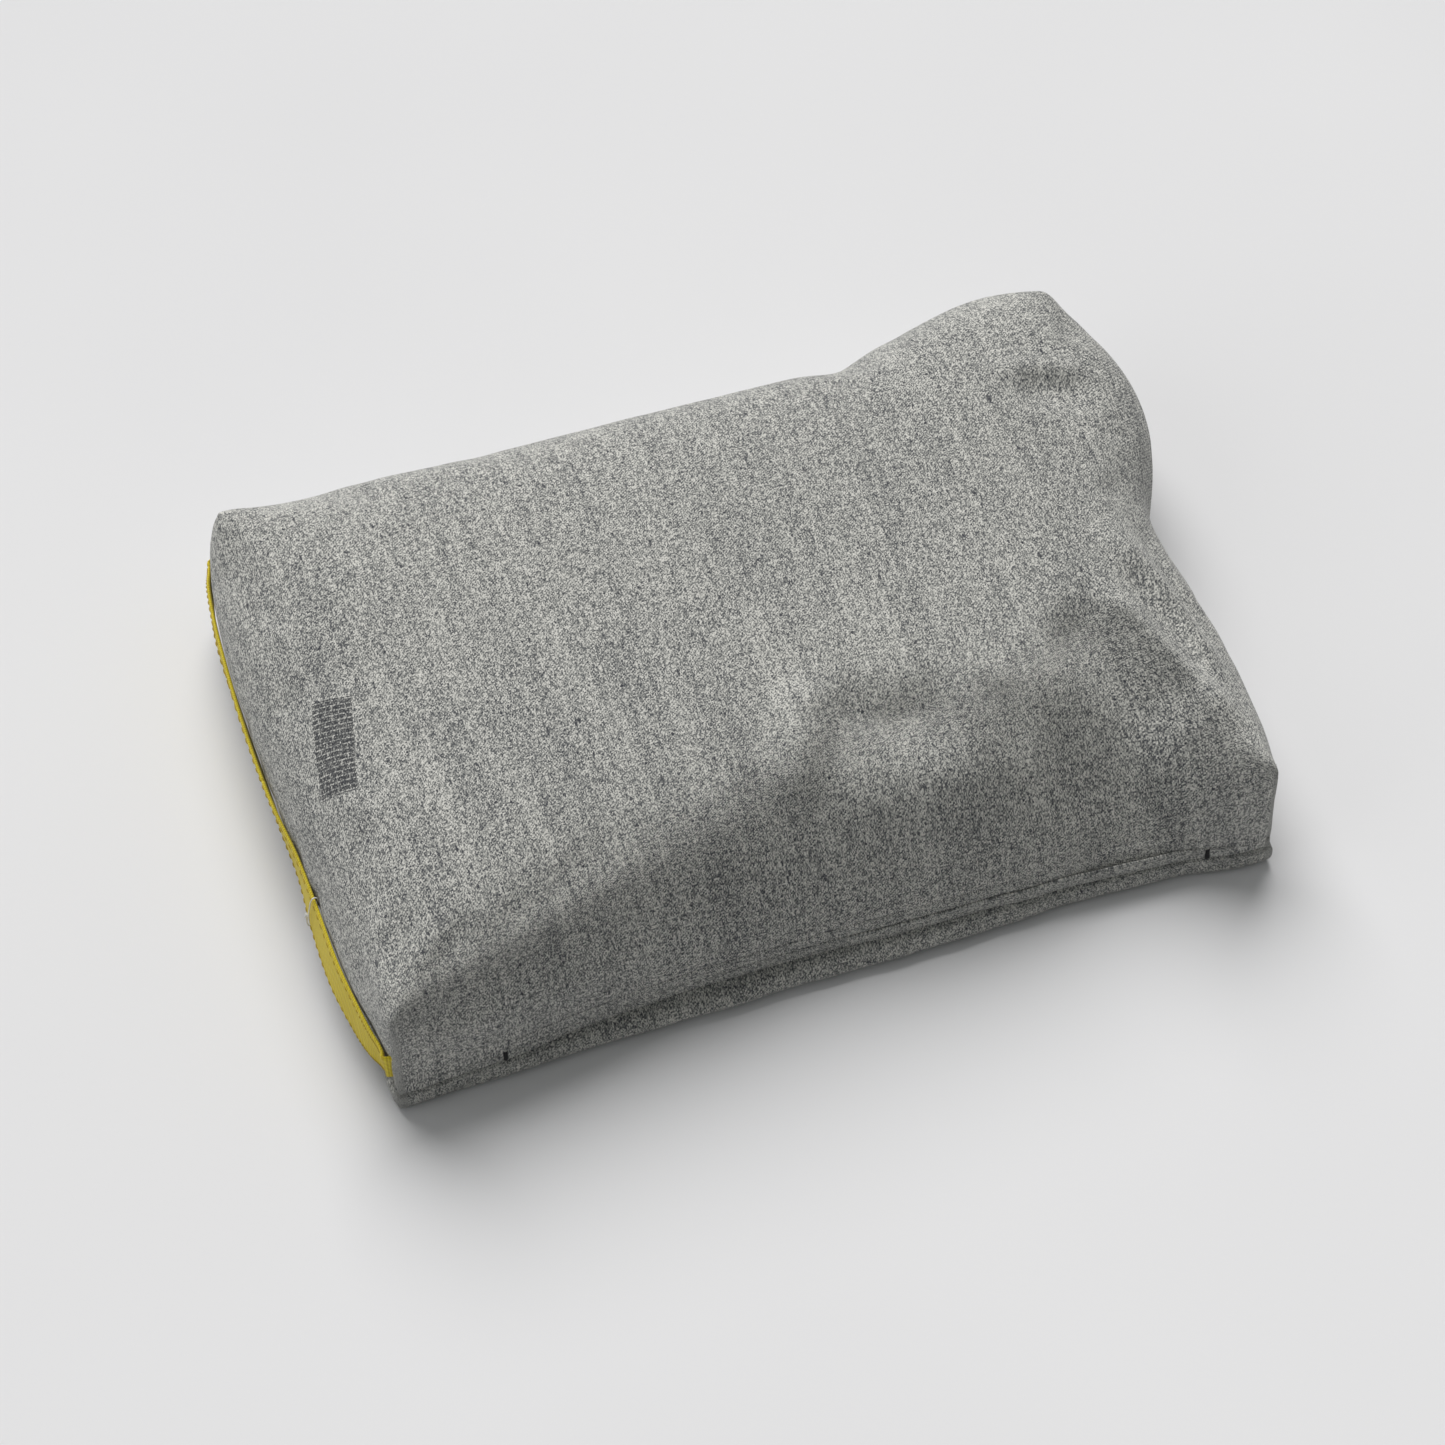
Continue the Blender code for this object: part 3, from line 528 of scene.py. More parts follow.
def heather(finish, at):
    """Colour of the cloth: mixed fibres, streaks along the short side, slubs, flecks and mottling."""
    snapped = finish.add("ShaderNodeVectorMath", {0: at, 1: YARN_CELL}, operation="SNAP").outputs[0]
    noise_of = finish.add("ShaderNodeTexWhiteNoise", {"Vector": snapped}, noise_dimensions="3D")
    yarns = noise_of.outputs["Value"]
    twill = finish.wave(finish.scaled(at, (1, 1, 1), TWILL_TURN), TWILL_PITCH, "X", 0.35)
    parts = [(yarns, YARN_WEIGHT), (twill, TWILL_WEIGHT)]
    for stretch, scale, detail, roughness, weight in TONE_LAYERS.values():
        parts.append((finish.noise(finish.scaled(at, stretch), scale, detail, roughness), weight))
    total = 0.0
    for value, weight in parts:
        total = finish.math("ADD", total, finish.math("MULTIPLY", value, weight))
    middle = sum(weight for _, weight in parts) / 2
    tone = finish.span(total, middle - TONE_SPREAD, middle + TONE_SPREAD)
    dark = finish.mix(finish.span(tone, 0.0, 0.5), CLOTH_DARK, CLOTH_MIDDLE)
    cloth = finish.mix(finish.span(tone, 0.5, 1.0), dark, CLOTH_PALE)
    fleck = spots(finish, at, (1.0, 0.70, 1.0), (1.3, 2.1, 0), 430, 0.765, 0.80, 0.85)
    slub = spots(finish, at, (1.0, 0.30, 1.0), (0, 0, 0), 260, 0.835, 0.86, 0.80)
    pale_slub = spots(finish, at, (1.0, 0.10, 1.0), (3, 5, 0), 420, 0.78, 0.83, 0.25)
    cloth = finish.mix(finish.math("MAXIMUM", fleck, slub), cloth, CLOTH_FLECK)
    fibres = parts[2][0]
    return finish.mix(pale_slub, cloth, CLOTH_PALE), twill, fibres


# The plain mark printed near the strap: a block of short bars
MARK_AT = (-0.2300, -0.0065)
MARK_TURN = radians(14)
MARK_HALF = (0.0115, 0.0290)
MARK_INK = (0.035, 0.037, 0.043, 1)
MARK_BARS = {"Brick Width": 0.0078, "Row Height": 0.0031, "Mortar Size": 0.00042, "Mortar Smooth": 0.4}
MARK_EDGE = 0.0004


def mark(finish, at, cloth):
    """Prints the block of bars onto the cloth, worn where the ink missed."""
    move = (-MARK_AT[0], -MARK_AT[1], 0)
    local = finish.scaled(finish.scaled(at, (1, 1, 1), 0, move), (1, 1, 1), MARK_TURN)
    parts = finish.add("ShaderNodeSeparateXYZ", {0: local})
    brick = finish.add("ShaderNodeTexBrick", {"Vector": local, "Scale": 1.0, **MARK_BARS})
    inside = finish.span(finish.math("SUBTRACT", 1.0, brick.outputs["Fac"]), 0.3, 0.7)
    for axis in range(2):
        away = finish.math("ABSOLUTE", parts.outputs[axis])
        low = MARK_HALF[axis] - MARK_EDGE / 2
        inside = finish.math("MULTIPLY", inside, finish.span(away, low, low + MARK_EDGE, 1.0, 0.0))
    worn = finish.span(finish.noise(at, 900, 2.0), 0.34, 0.52, 0.25, 0.88)
    return finish.mix(finish.math("MULTIPLY", inside, worn), cloth, MARK_INK)


def cover_finish():
    """The cover's cloth, with the mark printed on it and a short nap."""
    finish = Finish("cover_heathered_twill", 0.93, sheen=0.12, specular=0.25)
    at = finish.cloth()
    cloth, twill, fibres = heather(finish, at)
    finish.colour(mark(finish, at, cloth))
    nap = finish.noise(finish.scaled(at, (1.0, 0.2, 1.0)), 700, 2.0)
    height = finish.math("ADD", finish.math("MULTIPLY", twill, 0.5), finish.math("ADD", fibres, nap))
    finish.bump(height, 0.00022, 0.6)
    finish.roughness(finish.span(fibres, 0.3, 0.7, 0.86, 0.98))
    return finish.material


WEBBING = (0.780, 0.650, 0.020, 1)
# Dark orange-brown: the painted shade in the weave's hollows, and also the colour of soiling.
WEBBING_SHADED_AND_SOILED = (0.520, 0.370, 0.010, 1)
WEBBING_PALE = (0.860, 0.770, 0.070, 1)
RIB_PITCH = 0.0015
WARP_PITCH = 0.0011
SLANT_PITCH = 0.0030
SLANT_TURN = radians(35)


def webbing_finish():
    """Ribbed webbing, woven in two-and-two diagonals, with painted shade in the weave's hollows, paler fibres
    and random soiling.
    """
    finish = Finish("webbing_woven", 0.78, sheen=0.15, specular=0.3)
    at = finish.cloth()
    ribs = finish.wave(at, RIB_PITCH, "X", 0.15)
    warp = finish.wave(at, WARP_PITCH, "Y", 0.1)
    slant = finish.wave(finish.scaled(at, (1, 1, 1), SLANT_TURN), SLANT_PITCH, "X", 0.3)
    weave = finish.math("ADD", finish.math("MULTIPLY", ribs, 0.55), finish.math("MULTIPLY", warp, 0.35))
    weave = finish.math("ADD", weave, finish.math("MULTIPLY", slant, 0.25))
    fibres = finish.noise(at, 1300, 2.0, 0.6)
    soiled = finish.noise(finish.scaled(at, (1.0, 2.0, 1.0)), 30, 3.0, 0.6)
    # Painted shade: the colour goes darker, to orange-brown, in the hollows of the weave.
    base = finish.mix(finish.span(weave, 0.25, 0.95), WEBBING_SHADED_AND_SOILED, WEBBING)
    base = finish.mix(finish.span(fibres, 0.55, 0.80, 0.0, 0.7), base, WEBBING_PALE)
    # Random soiling, a real stain, darkens it toward the same dark colour.
    base = finish.mix(finish.span(soiled, 0.55, 0.80, 0.0, 0.35), base, WEBBING_SHADED_AND_SOILED)
    finish.colour(base)
    finish.bump(finish.math("ADD", weave, finish.math("MULTIPLY", fibres, 0.3)), 0.00035, 0.8)
    finish.roughness(finish.span(weave, 0.2, 1.0, 0.86, 0.68))
    return finish.material


def fibre_finish(name, colour, fine, roughness=0.85, contrast=0.35, bump=0.0001):
    """Plain thread, tape, cotton or wadding: one colour with fibres of its own scale."""
    finish = Finish(name, roughness, sheen=0.1, specular=0.3)
    at = finish.place()
    fibres = finish.noise(at, fine, 3.0, 0.65)
    broad = finish.noise(at, fine * 0.05, 2.0)
    dark = tuple(c * (1 - contrast) for c in colour[:3]) + (1,)
    pale = tuple(min(c * (1 + contrast), 1) for c in colour[:3]) + (1,)
    tone = finish.mix(finish.span(fibres, 0.32, 0.68), dark, pale)
    finish.colour(finish.mix(finish.span(broad, 0.35, 0.75, 0.0, 0.3), tone, dark))
    finish.bump(fibres, bump, 0.8)
    finish.roughness(finish.span(fibres, 0.3, 0.7, roughness - 0.08, min(roughness + 0.08, 1.0)))
    return finish.material


NICKEL_PALE = (0.58, 0.57, 0.54, 1)
NICKEL_DULL = (0.40, 0.39, 0.37, 1)
FLOOR_DIM = (0.768, 0.769, 0.784, 1)
FLOOR_PALE = (0.793, 0.794, 0.808, 1)


def metal_finish():
    """Die-cast nickel, with faint brushing and dulled patches."""
    finish = Finish("nickel_worn", 0.34, metallic=1.0)
    at = finish.place()
    brushed = finish.noise(finish.scaled(at, (1.0, 12.0, 12.0)), 260, 2.0)
    dull = finish.noise(at, 420, 3.0)
    finish.colour(finish.mix(finish.span(dull, 0.45, 0.75), NICKEL_PALE, NICKEL_DULL))
    finish.roughness(finish.span(brushed, 0.3, 0.7, 0.26, 0.46))
    finish.bump(brushed, 0.00004, 0.5)
    return finish.material


def floor_finish():
    """Pale paper, very slightly clouded."""
    finish = Finish("floor_paper", 0.88, specular=0.2)
    at = finish.place()
    cloud = finish.noise(at, 2.2, 2.0)
    grain = finish.noise(at, 260, 3.0)
    finish.colour(finish.mix(finish.span(cloud, 0.3, 0.7), FLOOR_DIM, FLOOR_PALE))
    finish.bump(grain, 0.0001, 0.25)
    return finish.material


COVER = cover_finish()
WEB = webbing_finish()
OCHRE_THREAD = fibre_finish("thread_ochre", (0.46, 0.33, 0.035, 1), 2400)
GREY_THREAD = fibre_finish("thread_grey", (0.34, 0.34, 0.33, 1), 2400)
WHITE_THREAD = fibre_finish("thread_white", (0.80, 0.80, 0.77, 1), 2400, contrast=0.12)
BLACK_THREAD = fibre_finish("thread_black", (0.022, 0.022, 0.025, 1), 2400)
CASE_COTTON = fibre_finish("case_cotton", (0.74, 0.73, 0.69, 1), 1100, contrast=0.10)
WADDING = fibre_finish("fill_wadding", (0.82, 0.82, 0.80, 1), 160, contrast=0.08, bump=0.002)
TAPE_WEAVE = fibre_finish("zip_tape_weave", (0.17, 0.17, 0.17, 1), 1500)
COIL_NYLON = fibre_finish("zip_coil_nylon", (0.13, 0.13, 0.135, 1), 700, 0.42, 0.15, 0.00002)
NICKEL = metal_finish()
FLOOR = floor_finish()


# ---------------------------------------------------------------- pieces


def piece(name, points, faces, finish, slot, cloth=None, thickness=0.0, side=-1):
    """An object of its own, in the frame. cloth is each point's place on the flat cloth."""
    mesh = bare_mesh(name, points, faces)
    mesh.polygons.foreach_set("use_smooth", [True] * len(mesh.polygons))
    if cloth is not None:
        place = np.zeros((len(points), 3))
        place[:, : np.shape(cloth)[1]] = cloth
        attribute = mesh.attributes.new("cloth", "FLOAT_VECTOR", "POINT")
        attribute.data.foreach_set("vector", place.ravel())
    mesh.materials.append(finish)
    made = bpy.data.objects.new(name, mesh)
    bpy.context.scene.collection.objects.link(made)
    if thickness:
        solidify = made.modifiers.new("Thickness", "SOLIDIFY")
        solidify.thickness = thickness
        solidify.offset = side
        solidify.use_even_offset = False
    return made


def part_of(points, faces, values):
    """The points that faces use, the faces renumbered, and the same rows of values."""
    faces = np.asarray(faces)
    used, numbered = np.unique(faces, return_inverse=True)
    return points[used], numbered.reshape(faces.shape), values[used]


def grid_faces(rows, columns, closed=False):
    """Quads between rows of points, each row closed into a ring if asked."""
    faces = []
    for r in range(rows - 1):
        for c in range(columns if closed else columns - 1):
            d = (c + 1) % columns
            faces.append((r * columns + c, r * columns + d, (r + 1) * columns + d, (r + 1) * columns + c))
    return faces


TUBE_END = 0.45  # share of its radius that a tube has at its ends


def tube(points, radius, sides=6):
    """Points and faces of a round tube along points, with tapered ends."""
    points = [Vector(p) for p in points]
    rings = []
    across = None
    last = len(points) - 1
    for k, point in enumerate(points):
        run = (points[min(k + 1, last)] - points[max(k - 1, 0)]).normalized()
        if across is None:
            across = run.orthogonal().normalized()
        across = (across - run * across.dot(run)).normalized()
        up = run.cross(across)
        size = radius * (TUBE_END if k in (0, last) else 1.0)
        for n in range(sides):
            angle = 2 * pi * n / sides
            rings.append(point + across * (size * cos(angle)) + up * (size * sin(angle)))
    faces = grid_faces(len(points), sides, closed=True)
    faces.append(tuple(range(sides))[::-1])
    faces.append(tuple(last * sides + n for n in range(sides)))
    return rings, faces


def gather(parts):
    """One point list and one face list from many."""
    points, faces = [], []
    for more_points, more_faces in parts:
        first = len(points)
        points.extend(more_points)
        faces.extend(tuple(k + first for k in face) for face in more_faces)
    return points, faces


STITCH_ARCH = [(0.0, -0.6), (0.12, 0.3), (0.5, 1.0), (0.88, 0.3), (1.0, -0.6)]


def stitch(a, b, radius, outward, lift):
    """One stitch from a to b, arched a little off the cloth."""
    a, b = Vector(a), Vector(b)
    return tube([a.lerp(b, t) + Vector(outward) * (lift * h) for t, h in STITCH_ARCH], radius, 5)


# ---------------------------------------------------------------- cover

ZIP_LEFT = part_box("zip_fly")[0][0]
ZIP_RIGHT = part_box("zip_fly")[1][0]
# Section of the folded edge, from the outer face in and up again: (inward, rise)
HEM_SECTION = mm((0.4, -0.7), (1.1, -0.8), (1.4, 0), (1.6, 9.0))


def hem(points, cloth, row, outward):
    """Rows that fold a lower edge inwards and up again behind it."""
    made, place = [], []
    for inward, rise in HEM_SECTION:
        made.append(points[row] - outward * inward + np.array([0, 0, rise]))
        place.append(cloth[row] + outward[:, :2] * (inward + abs(rise)))
    return made, place


def outward_of(row):
    """Level outward direction along a closed row of points."""
    run = np.roll(row, -1, axis=0) - np.roll(row, 1, axis=0)
    out = np.stack([run[:, 1], -run[:, 0], np.zeros(len(run))], -1)
    return out / np.linalg.norm(out, axis=1)[:, None]


def build_top():
    """The top panel, and the fly: the part of its lower edge that covers the zip."""
    seam = skin.walls[-1]
    outward = outward_of(skin.points[seam])
    more, place = hem(skin.points, skin.pattern, seam, outward)
    points = np.vstack([skin.points] + more)
    cloth = np.vstack([skin.pattern] + place)
    rows = list(skin.walls)
    for n in range(len(more)):
        rows.append(len(skin.points) + n * skin.round + np.arange(skin.round))
    near = skin.points[skin.walls[FLY_ROW][:CELLS_X], 0]
    columns = [c for c in range(CELLS_X) if ZIP_LEFT <= near[c] < ZIP_RIGHT]
    top_faces = [tuple(face) for face in skin.faces[: CELLS_X * CELLS_Y]]
    fly_faces = []
    for r in range(len(rows) - 1):
        for c in range(skin.round):
            d = (c + 1) % skin.round
            face = (rows[r][d], rows[r][c], rows[r + 1][c], rows[r + 1][d])
            in_fly = r >= FLY_ROW and c in columns[:-1]
            (fly_faces if in_fly else top_faces).append(face)
    top = piece("cover_top_cloth", *part_of_cloth(points, top_faces, cloth), thickness=CLOTH)
    fly = piece("zip_fly_cloth", *part_of_cloth(points, fly_faces, cloth), thickness=CLOTH)
    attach(top, "pillow")
    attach(fly, "pillow")
    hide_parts("cover_top_panel")
    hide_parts("zip_fly")
    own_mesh(fly)
    return columns


def part_of_cloth(points, faces, cloth):
    """What piece() needs for the faces of the cover's cloth."""
    own, numbered, place = part_of(points, faces, cloth)
    return own, numbered, COVER, "cover_cloth", place


ROLL_NEAR = mm((-250, 2), (-200, 3), (-141, 8.5), (-85, 11), (8, 10), (71, 8), (120, 5), (186, 3),
               (250, 2))
ROLL_SIDE = 0.0022
# The bottom panel's section from behind the top's edge to the floor: (height, setback, share of the roll)
BOTTOM_SECTION = [(0.0190, 0.0016, 0.0), (0.0165, 0.0017, 0.0), (0.0150, 0.0010, 0.12), (0.0142, 0.0, 0.40),
                  (0.0128, 0.0, 0.68), (0.0108, 0.0, 0.88), (0.0084, 0.0, 1.0), (0.0058, 0.0, 0.98),
                  (0.0036, 0.0, 0.82), (0.0022, 0.0, 0.56), (0.0016, 0.0020, 0.20), (0.0013, 0.0060, 0.0)]
BASE_SHARES = (0.97, 0.94, 0.88, 0.80, 0.70, 0.58, 0.44, 0.28, 0.12)
BASE_Z = 0.0014
BASE_WRINKLE = 0.0005
BASE_WRINKLES_PER_M = 38
ROLL_EVEN = 6  # rounds of evening out the roll along the seam
HIDDEN_ROWS = 3  # rows behind the top's edge, which stand back from the zip by this much
HIDDEN_SETBACK = 0.0042
PUCKER = 0.0012
PUCKER_PACE = (0.115, 0.22)  # along the seam and down the section
PUCKER_ROWS = 10


def build_bottom():
    """The bottom panel, rolled out over the floor under the top's folded edge, and flat below."""
    seam = skin.points[skin.walls[-1]].copy()
    outward = outward_of(seam)
    away = np.full(len(seam), ROLL_SIDE)
    near = np.arange(CELLS_X)
    away[near] = through(ROLL_NEAR, seam[near, 0])
    for _ in range(ROLL_EVEN):
        away = (away + np.roll(away, 1) + np.roll(away, -1)) / 3
    middle = np.zeros(len(seam))
    middle[near] = 1 - np.abs(seam[near, 0] / HALF_LENGTH).clip(0, 1) ** 6
    rings, place = [], []
    cloth = skin.pattern[skin.walls[-1]]
    travelled = 0.0
    for k, (z, setback, share) in enumerate(BOTTOM_SECTION):
        ring = seam + outward * (away * share - setback)[:, None]
        if k < HIDDEN_ROWS:
            ring -= outward * (HIDDEN_SETBACK * middle)[:, None]
        at = [Vector((c * PUCKER_PACE[0], k * PUCKER_PACE[1], 4.0)) for c in range(len(seam))]
        puckers = np.array([noise.noise(v) for v in at]) * PUCKER * sin(pi * min(k / PUCKER_ROWS, 1))
        ring += outward * puckers[:, None]
        ring[:, 2] = z
        if rings:
            travelled += np.linalg.norm((ring - rings[-1])[CELLS_X // 2])
        rings.append(ring)
        place.append(cloth + outward[:, :2] * travelled)
    foot = rings[-1]
    for share in BASE_SHARES:
        ring = foot * share
        ring[:, 2] = [BASE_Z + BASE_WRINKLE * noise.noise(Vector(p) * BASE_WRINKLES_PER_M) for p in ring]
        rings.append(ring)
        place.append(ring[:, :2])
    faces = [face[::-1] for face in grid_faces(len(rings), len(seam), closed=True)]
    points = np.vstack(rings + [np.array([[0, 0, BASE_Z]])])
    cloth = np.vstack(place + [np.array([[0.0, 0.0]])])
    first = (len(rings) - 1) * len(seam)
    for c in range(len(seam)):
        faces.append((first + (c + 1) % len(seam), first + c, len(points) - 1))
    bottom = piece("cover_bottom_cloth", points, faces, COVER, "cover_cloth", cloth, CLOTH)
    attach(bottom, "pillow")
    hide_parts("cover_bottom_panel")


HEM_STITCH_Z = 0.0225
HEM_STITCH_PITCH = 2  # columns of the wall from one stitch to the next
HEM_STITCH_CLEAR = 3  # columns beside a corner seam without stitches
HEM_THREAD = 0.00028
HEM_STITCH_LIFT = 0.00030


def wall_point(column, z):
    """Point on the skin's wall in a column, at a height."""
    wall = skin.points[skin.walls[:, column % skin.round]]
    order = np.argsort(wall[:, 2])
    return np.array([np.interp(z, wall[order, 2], wall[order, axis]) for axis in range(3)])


def build_hem_stitching(columns):
    """The row of stitches that holds the folded lower edge: round the panel, and along the fly."""
    outward = outward_of(skin.points[skin.walls[-1]])
    corners = (0, CELLS_X, CELLS_X + CELLS_Y, skin.round - CELLS_Y, skin.round)
    rows = {"hem_stitching": [], "fly_stitching": []}
    for c in range(1, skin.round, HEM_STITCH_PITCH):
        if min(abs(c - k) for k in corners) < HEM_STITCH_CLEAR:
            continue
        a, b = wall_point(c, HEM_STITCH_Z), wall_point(c + 1, HEM_STITCH_Z)
        name = "fly_stitching" if c in columns[1:-1] else "hem_stitching"
        rows[name].append(stitch(a, b, HEM_THREAD, outward[c], HEM_STITCH_LIFT))
    for name, parts in rows.items():
        row = piece(name, *gather(parts), GREY_THREAD, "black_thread")
        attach(row, "pillow")
        if name == "fly_stitching":
            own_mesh(row)


TACK_THREADS = 17
TACK_THREAD = 0.00030
TACK_LIFT = 0.00050
TACK_TILT = 0.00022
TACK_PAST = 0.00030  # its threads reach past the bar by this much
TACK_OFF = 0.00020  # and stand off the cloth


def build_tacks():
    """The bar tacks at the ends of the fly: dense zigzag threads across a short upright bar."""
    for side in ("left", "right"):
        low, high = (Vector(corner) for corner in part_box(f"fly_bar_tack_{side}"))
        near = skin.points[skin.walls[FLY_ROW][:CELLS_X], 0]
        column = int(np.argmin(np.abs(near - (low.x + high.x) / 2)))
        parts = []
        for k in range(TACK_THREADS):
            z = low.z + (high.z - low.z) * (k + 0.5) / TACK_THREADS
            y = wall_point(column, z)[1] - TACK_OFF
            tilt = TACK_TILT * (-1) ** k
            a = (low.x - TACK_PAST, y, z - tilt)
            b = (high.x + TACK_PAST, y, z + tilt)
            parts.append(stitch(a, b, TACK_THREAD, (0, -1, 0), TACK_LIFT))
        tack = piece(f"bar_tack_{side}", *gather(parts), BLACK_THREAD, "black_thread")
        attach(tack, "pillow")
        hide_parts(f"fly_bar_tack_{side}")


columns = build_top()
build_bottom()
build_hem_stitching(columns)
build_tacks()

# ---------------------------------------------------------------- carry strap

STRAP_WIDTH = 0.0250
STRAP_THICKNESS = 0.0022
STRAP_HEIGHT = 0.0365
STRAP_SEAT = 0.0017
STRAP_TUCK_IN = 0.0110  # its ends go into the corner seams by this much, over this length
STRAP_TUCK_ON = 0.0008
# Share of the half width, distance from the middle of the pillow, lean in degrees
STRAP_ROUTE = [
    (-0.958, 0.2480, 4), (-0.940, 0.2505, 4), (-0.910, 0.2535, 0), (-0.865, 0.2570, -5),
    (-0.780, 0.2600, -9), (-0.600, 0.2618, -12), (-0.400, 0.2625, -10), (-0.200, 0.2630, -1),
    (0.000, 0.2670, 6), (0.200, 0.2682, 8), (0.450, 0.2680, 5), (0.700, 0.2676, 0),
    (0.860, 0.2648, 0), (0.925, 0.2614, 1), (0.950, 0.2575, 3), (0.966, 0.2530, 4),
]
# Shares of the route: each sewn end, the tag's thread, and where the two halves meet
SEWN_SHARE = 0.130
TAG_SHARE = 0.421
MIDDLE_SHARE = 0.56
STRAP_STATIONS = 110  # sections along each half, and along each sewn end
SEWN_STATIONS = 16
STITCH_INSET = 0.0026
STITCH_PITCH = 0.0036
STITCH_FIRST = 0.20  # where in its pitch a stitch starts, and how much of it it takes
STITCH_LONG = 0.62
STITCH_THREAD = 0.00033
STITCH_LIFT = 0.00032
SELVEDGE = 0.0004  # how much thicker the webbing is at the ridge near its edges
RIDGE = 0.80
FACE_SHARES = (-0.90, -RIDGE, -0.66, -0.4, 0.0, 0.4, 0.66, RIDGE, 0.90)
EDGE_SHARES = ((0.955, 0.75), (0.995, 0.35), (1.0, 0.0))  # (of the half width, of the half thickness)
BACK_PLACE = 0.03  # the back face lies this far from the front on the flat cloth
ROUTE_STEPS = 40


def strap_route():
    """The route as (x, y, z, lean), clear of the finished skin."""
    tree = bvhtree.BVHTree.FromPolygons(skin.points.tolist(), skin.faces.tolist())
    route = []
    for share, away, lean in STRAP_ROUTE:
        y = share * HALF_WIDTH + SHIFT.y
        walls = []
        for dz in np.linspace(-STRAP_WIDTH / 2, STRAP_WIDTH / 2, 5):
            hit = tree.ray_cast(Vector((-1.0, y, STRAP_HEIGHT + dz)), Vector((1, 0, 0)))[0]
            walls.append(hit.x + tan(radians(lean)) * dz)
        route.append((min(min(walls) - STRAP_SEAT, SHIFT.x - away), y, STRAP_HEIGHT, lean))
    ends = []
    for (x, y, z, lean), way in ((route[0], -1), (route[-1], 1)):
        ends.append((x + STRAP_TUCK_IN, y + way * STRAP_TUCK_ON, z, lean))
    return [ends[0]] + route + [ends[1]]


def spline_point(points, share):
    """Point of the smooth curve through the points, at a share of their spans."""
    spans = len(points) - 1
    k = min(int(share * spans), spans - 1)
    t = share * spans - k
    a, b, c, d = (Vector(points[min(max(k + n, 0), spans)]) for n in (-1, 0, 1, 2))
    bend = (2 * a - 5 * b + 4 * c - d) * t**2 + (3 * b - a - 3 * c + d) * t**3
    return 0.5 * (2 * b + (c - a) * t + bend)


def strap_frame(route, share):
    """Middle, width direction and outward direction of the webbing at a share of its route."""
    here = spline_point(route, share)
    step = 0.1 / len(route)
    run = spline_point(route, min(share + step, 1.0)) - spline_point(route, max(share - step, 0.0))
    run = Vector(run[:3]).normalized()
    upright = Vector((0, 0, 1))
    outward = upright.cross(run).normalized()
    outward = outward if outward.x < 0 else -outward
    lean = radians(here[3])
    width = (upright * cos(lean) + outward * sin(lean)).normalized()
    outward = run.cross(width).normalized()
    outward = outward if outward.x < 0 else -outward
    return Vector(here[:3]), width, outward


def webbing_section():
    """(across, off the middle) round the webbing: two faces, a ridge near each edge, and rounded edges."""
    half = STRAP_WIDTH / 2
    thick = (STRAP_THICKNESS - SELVEDGE) / 2
    face = [(half * t, thick + (SELVEDGE / 2 if abs(t) == RIDGE else 0)) for t in FACE_SHARES]
    edge = [(half * a, thick * b) for a, b in EDGE_SHARES]
    right = edge + [(a, -b) for a, b in edge[-2::-1]]
    back = [(a, -b) for a, b in face[::-1]]
    left = [(-a, -b) for a, b in right]
    return face + right + back + left


def webbing(route, first, last, count):
    """Points, faces and cloth places of a stretch of the webbing."""
    section = webbing_section()
    points, place = [], []
    travelled, before = 0.0, None
    for k in range(count + 1):
        middle, width, outward = strap_frame(route, first + (last - first) * k / count)
        travelled = travelled + (middle - before).length if before else spent(route, first)
        before = middle
        for a, b in section:
            points.append(middle + width * a + outward * b)
            place.append((travelled, a + (BACK_PLACE if b < 0 else 0.0), 0.0))
    faces = grid_faces(count + 1, len(section), closed=True)
    faces.append(tuple(range(len(section)))[::-1])
    faces.append(tuple(count * len(section) + n for n in range(len(section))))
    return points, faces, place


def spent(route, share):
    """Length of the route up to a share."""
    at = [Vector(spline_point(route, share * k / ROUTE_STEPS)[:3]) for k in range(ROUTE_STEPS + 1)]
    return sum((b - a).length for a, b in zip(at, at[1:]))


def blend_strap(made, front):
    """Bakes the piece's transform into its mesh; both halves are treated alike."""
    if front:
        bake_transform(made)
    else:
        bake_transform(made)


def build_strap(route):
    """The free run of the webbing in two halves, and its sewn ends."""
    first, last = SEWN_SHARE, 1 - SEWN_SHARE
    halves = (("strap_front_half", first, MIDDLE_SHARE), ("strap_back_half", MIDDLE_SHARE, last))
    for name, a, b in halves:
        points, faces, place = webbing(route, a, b, STRAP_STATIONS)
        made = piece(name, points, faces, WEB, "webbing", place)
        if name == "strap_front_half":
            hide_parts("strap")
        blend_strap(made, name == "strap_front_half")
    for end, a, b in (("front", 0.0, first), ("back", last, 1.0)):
        points, faces, place = webbing(route, a, b, SEWN_STATIONS)
        made = piece(f"strap_sewn_{end}", points, faces, WEB, "webbing", place)
        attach(made, "pillow")
        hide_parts(f"strap_sewn_end_{end}")


def build_strap_stitches(route):
    """Single stitches along both edges of the webbing's outer face."""
    free = 1 - 2 * SEWN_SHARE
    count = int(spent(route, 1.0) * free / STITCH_PITCH)
    for side, sign in (("upper", 1), ("lower", -1)):
        reach = sign * (STRAP_WIDTH / 2 - STITCH_INSET)
        halves = {True: [], False: []}
        for k in range(count):
            share = SEWN_SHARE + free * (k + STITCH_FIRST) / count
            ends = []
            for at in (share, share + free * STITCH_LONG / count):
                middle, width, outward = strap_frame(route, at)
                ends.append(middle + width * reach + outward * STRAP_THICKNESS / 2)
            halves[share < MIDDLE_SHARE].append(stitch(*ends, STITCH_THREAD, outward, STITCH_LIFT))
        for front, parts in halves.items():
            half = "front" if front else "back"
            row = piece(f"strap_stitches_{side}_{half}", *gather(parts), OCHRE_THREAD, "webbing_thread")
            if front:
                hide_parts(f"strap_stitching_{side}")
            blend_strap(row, front)


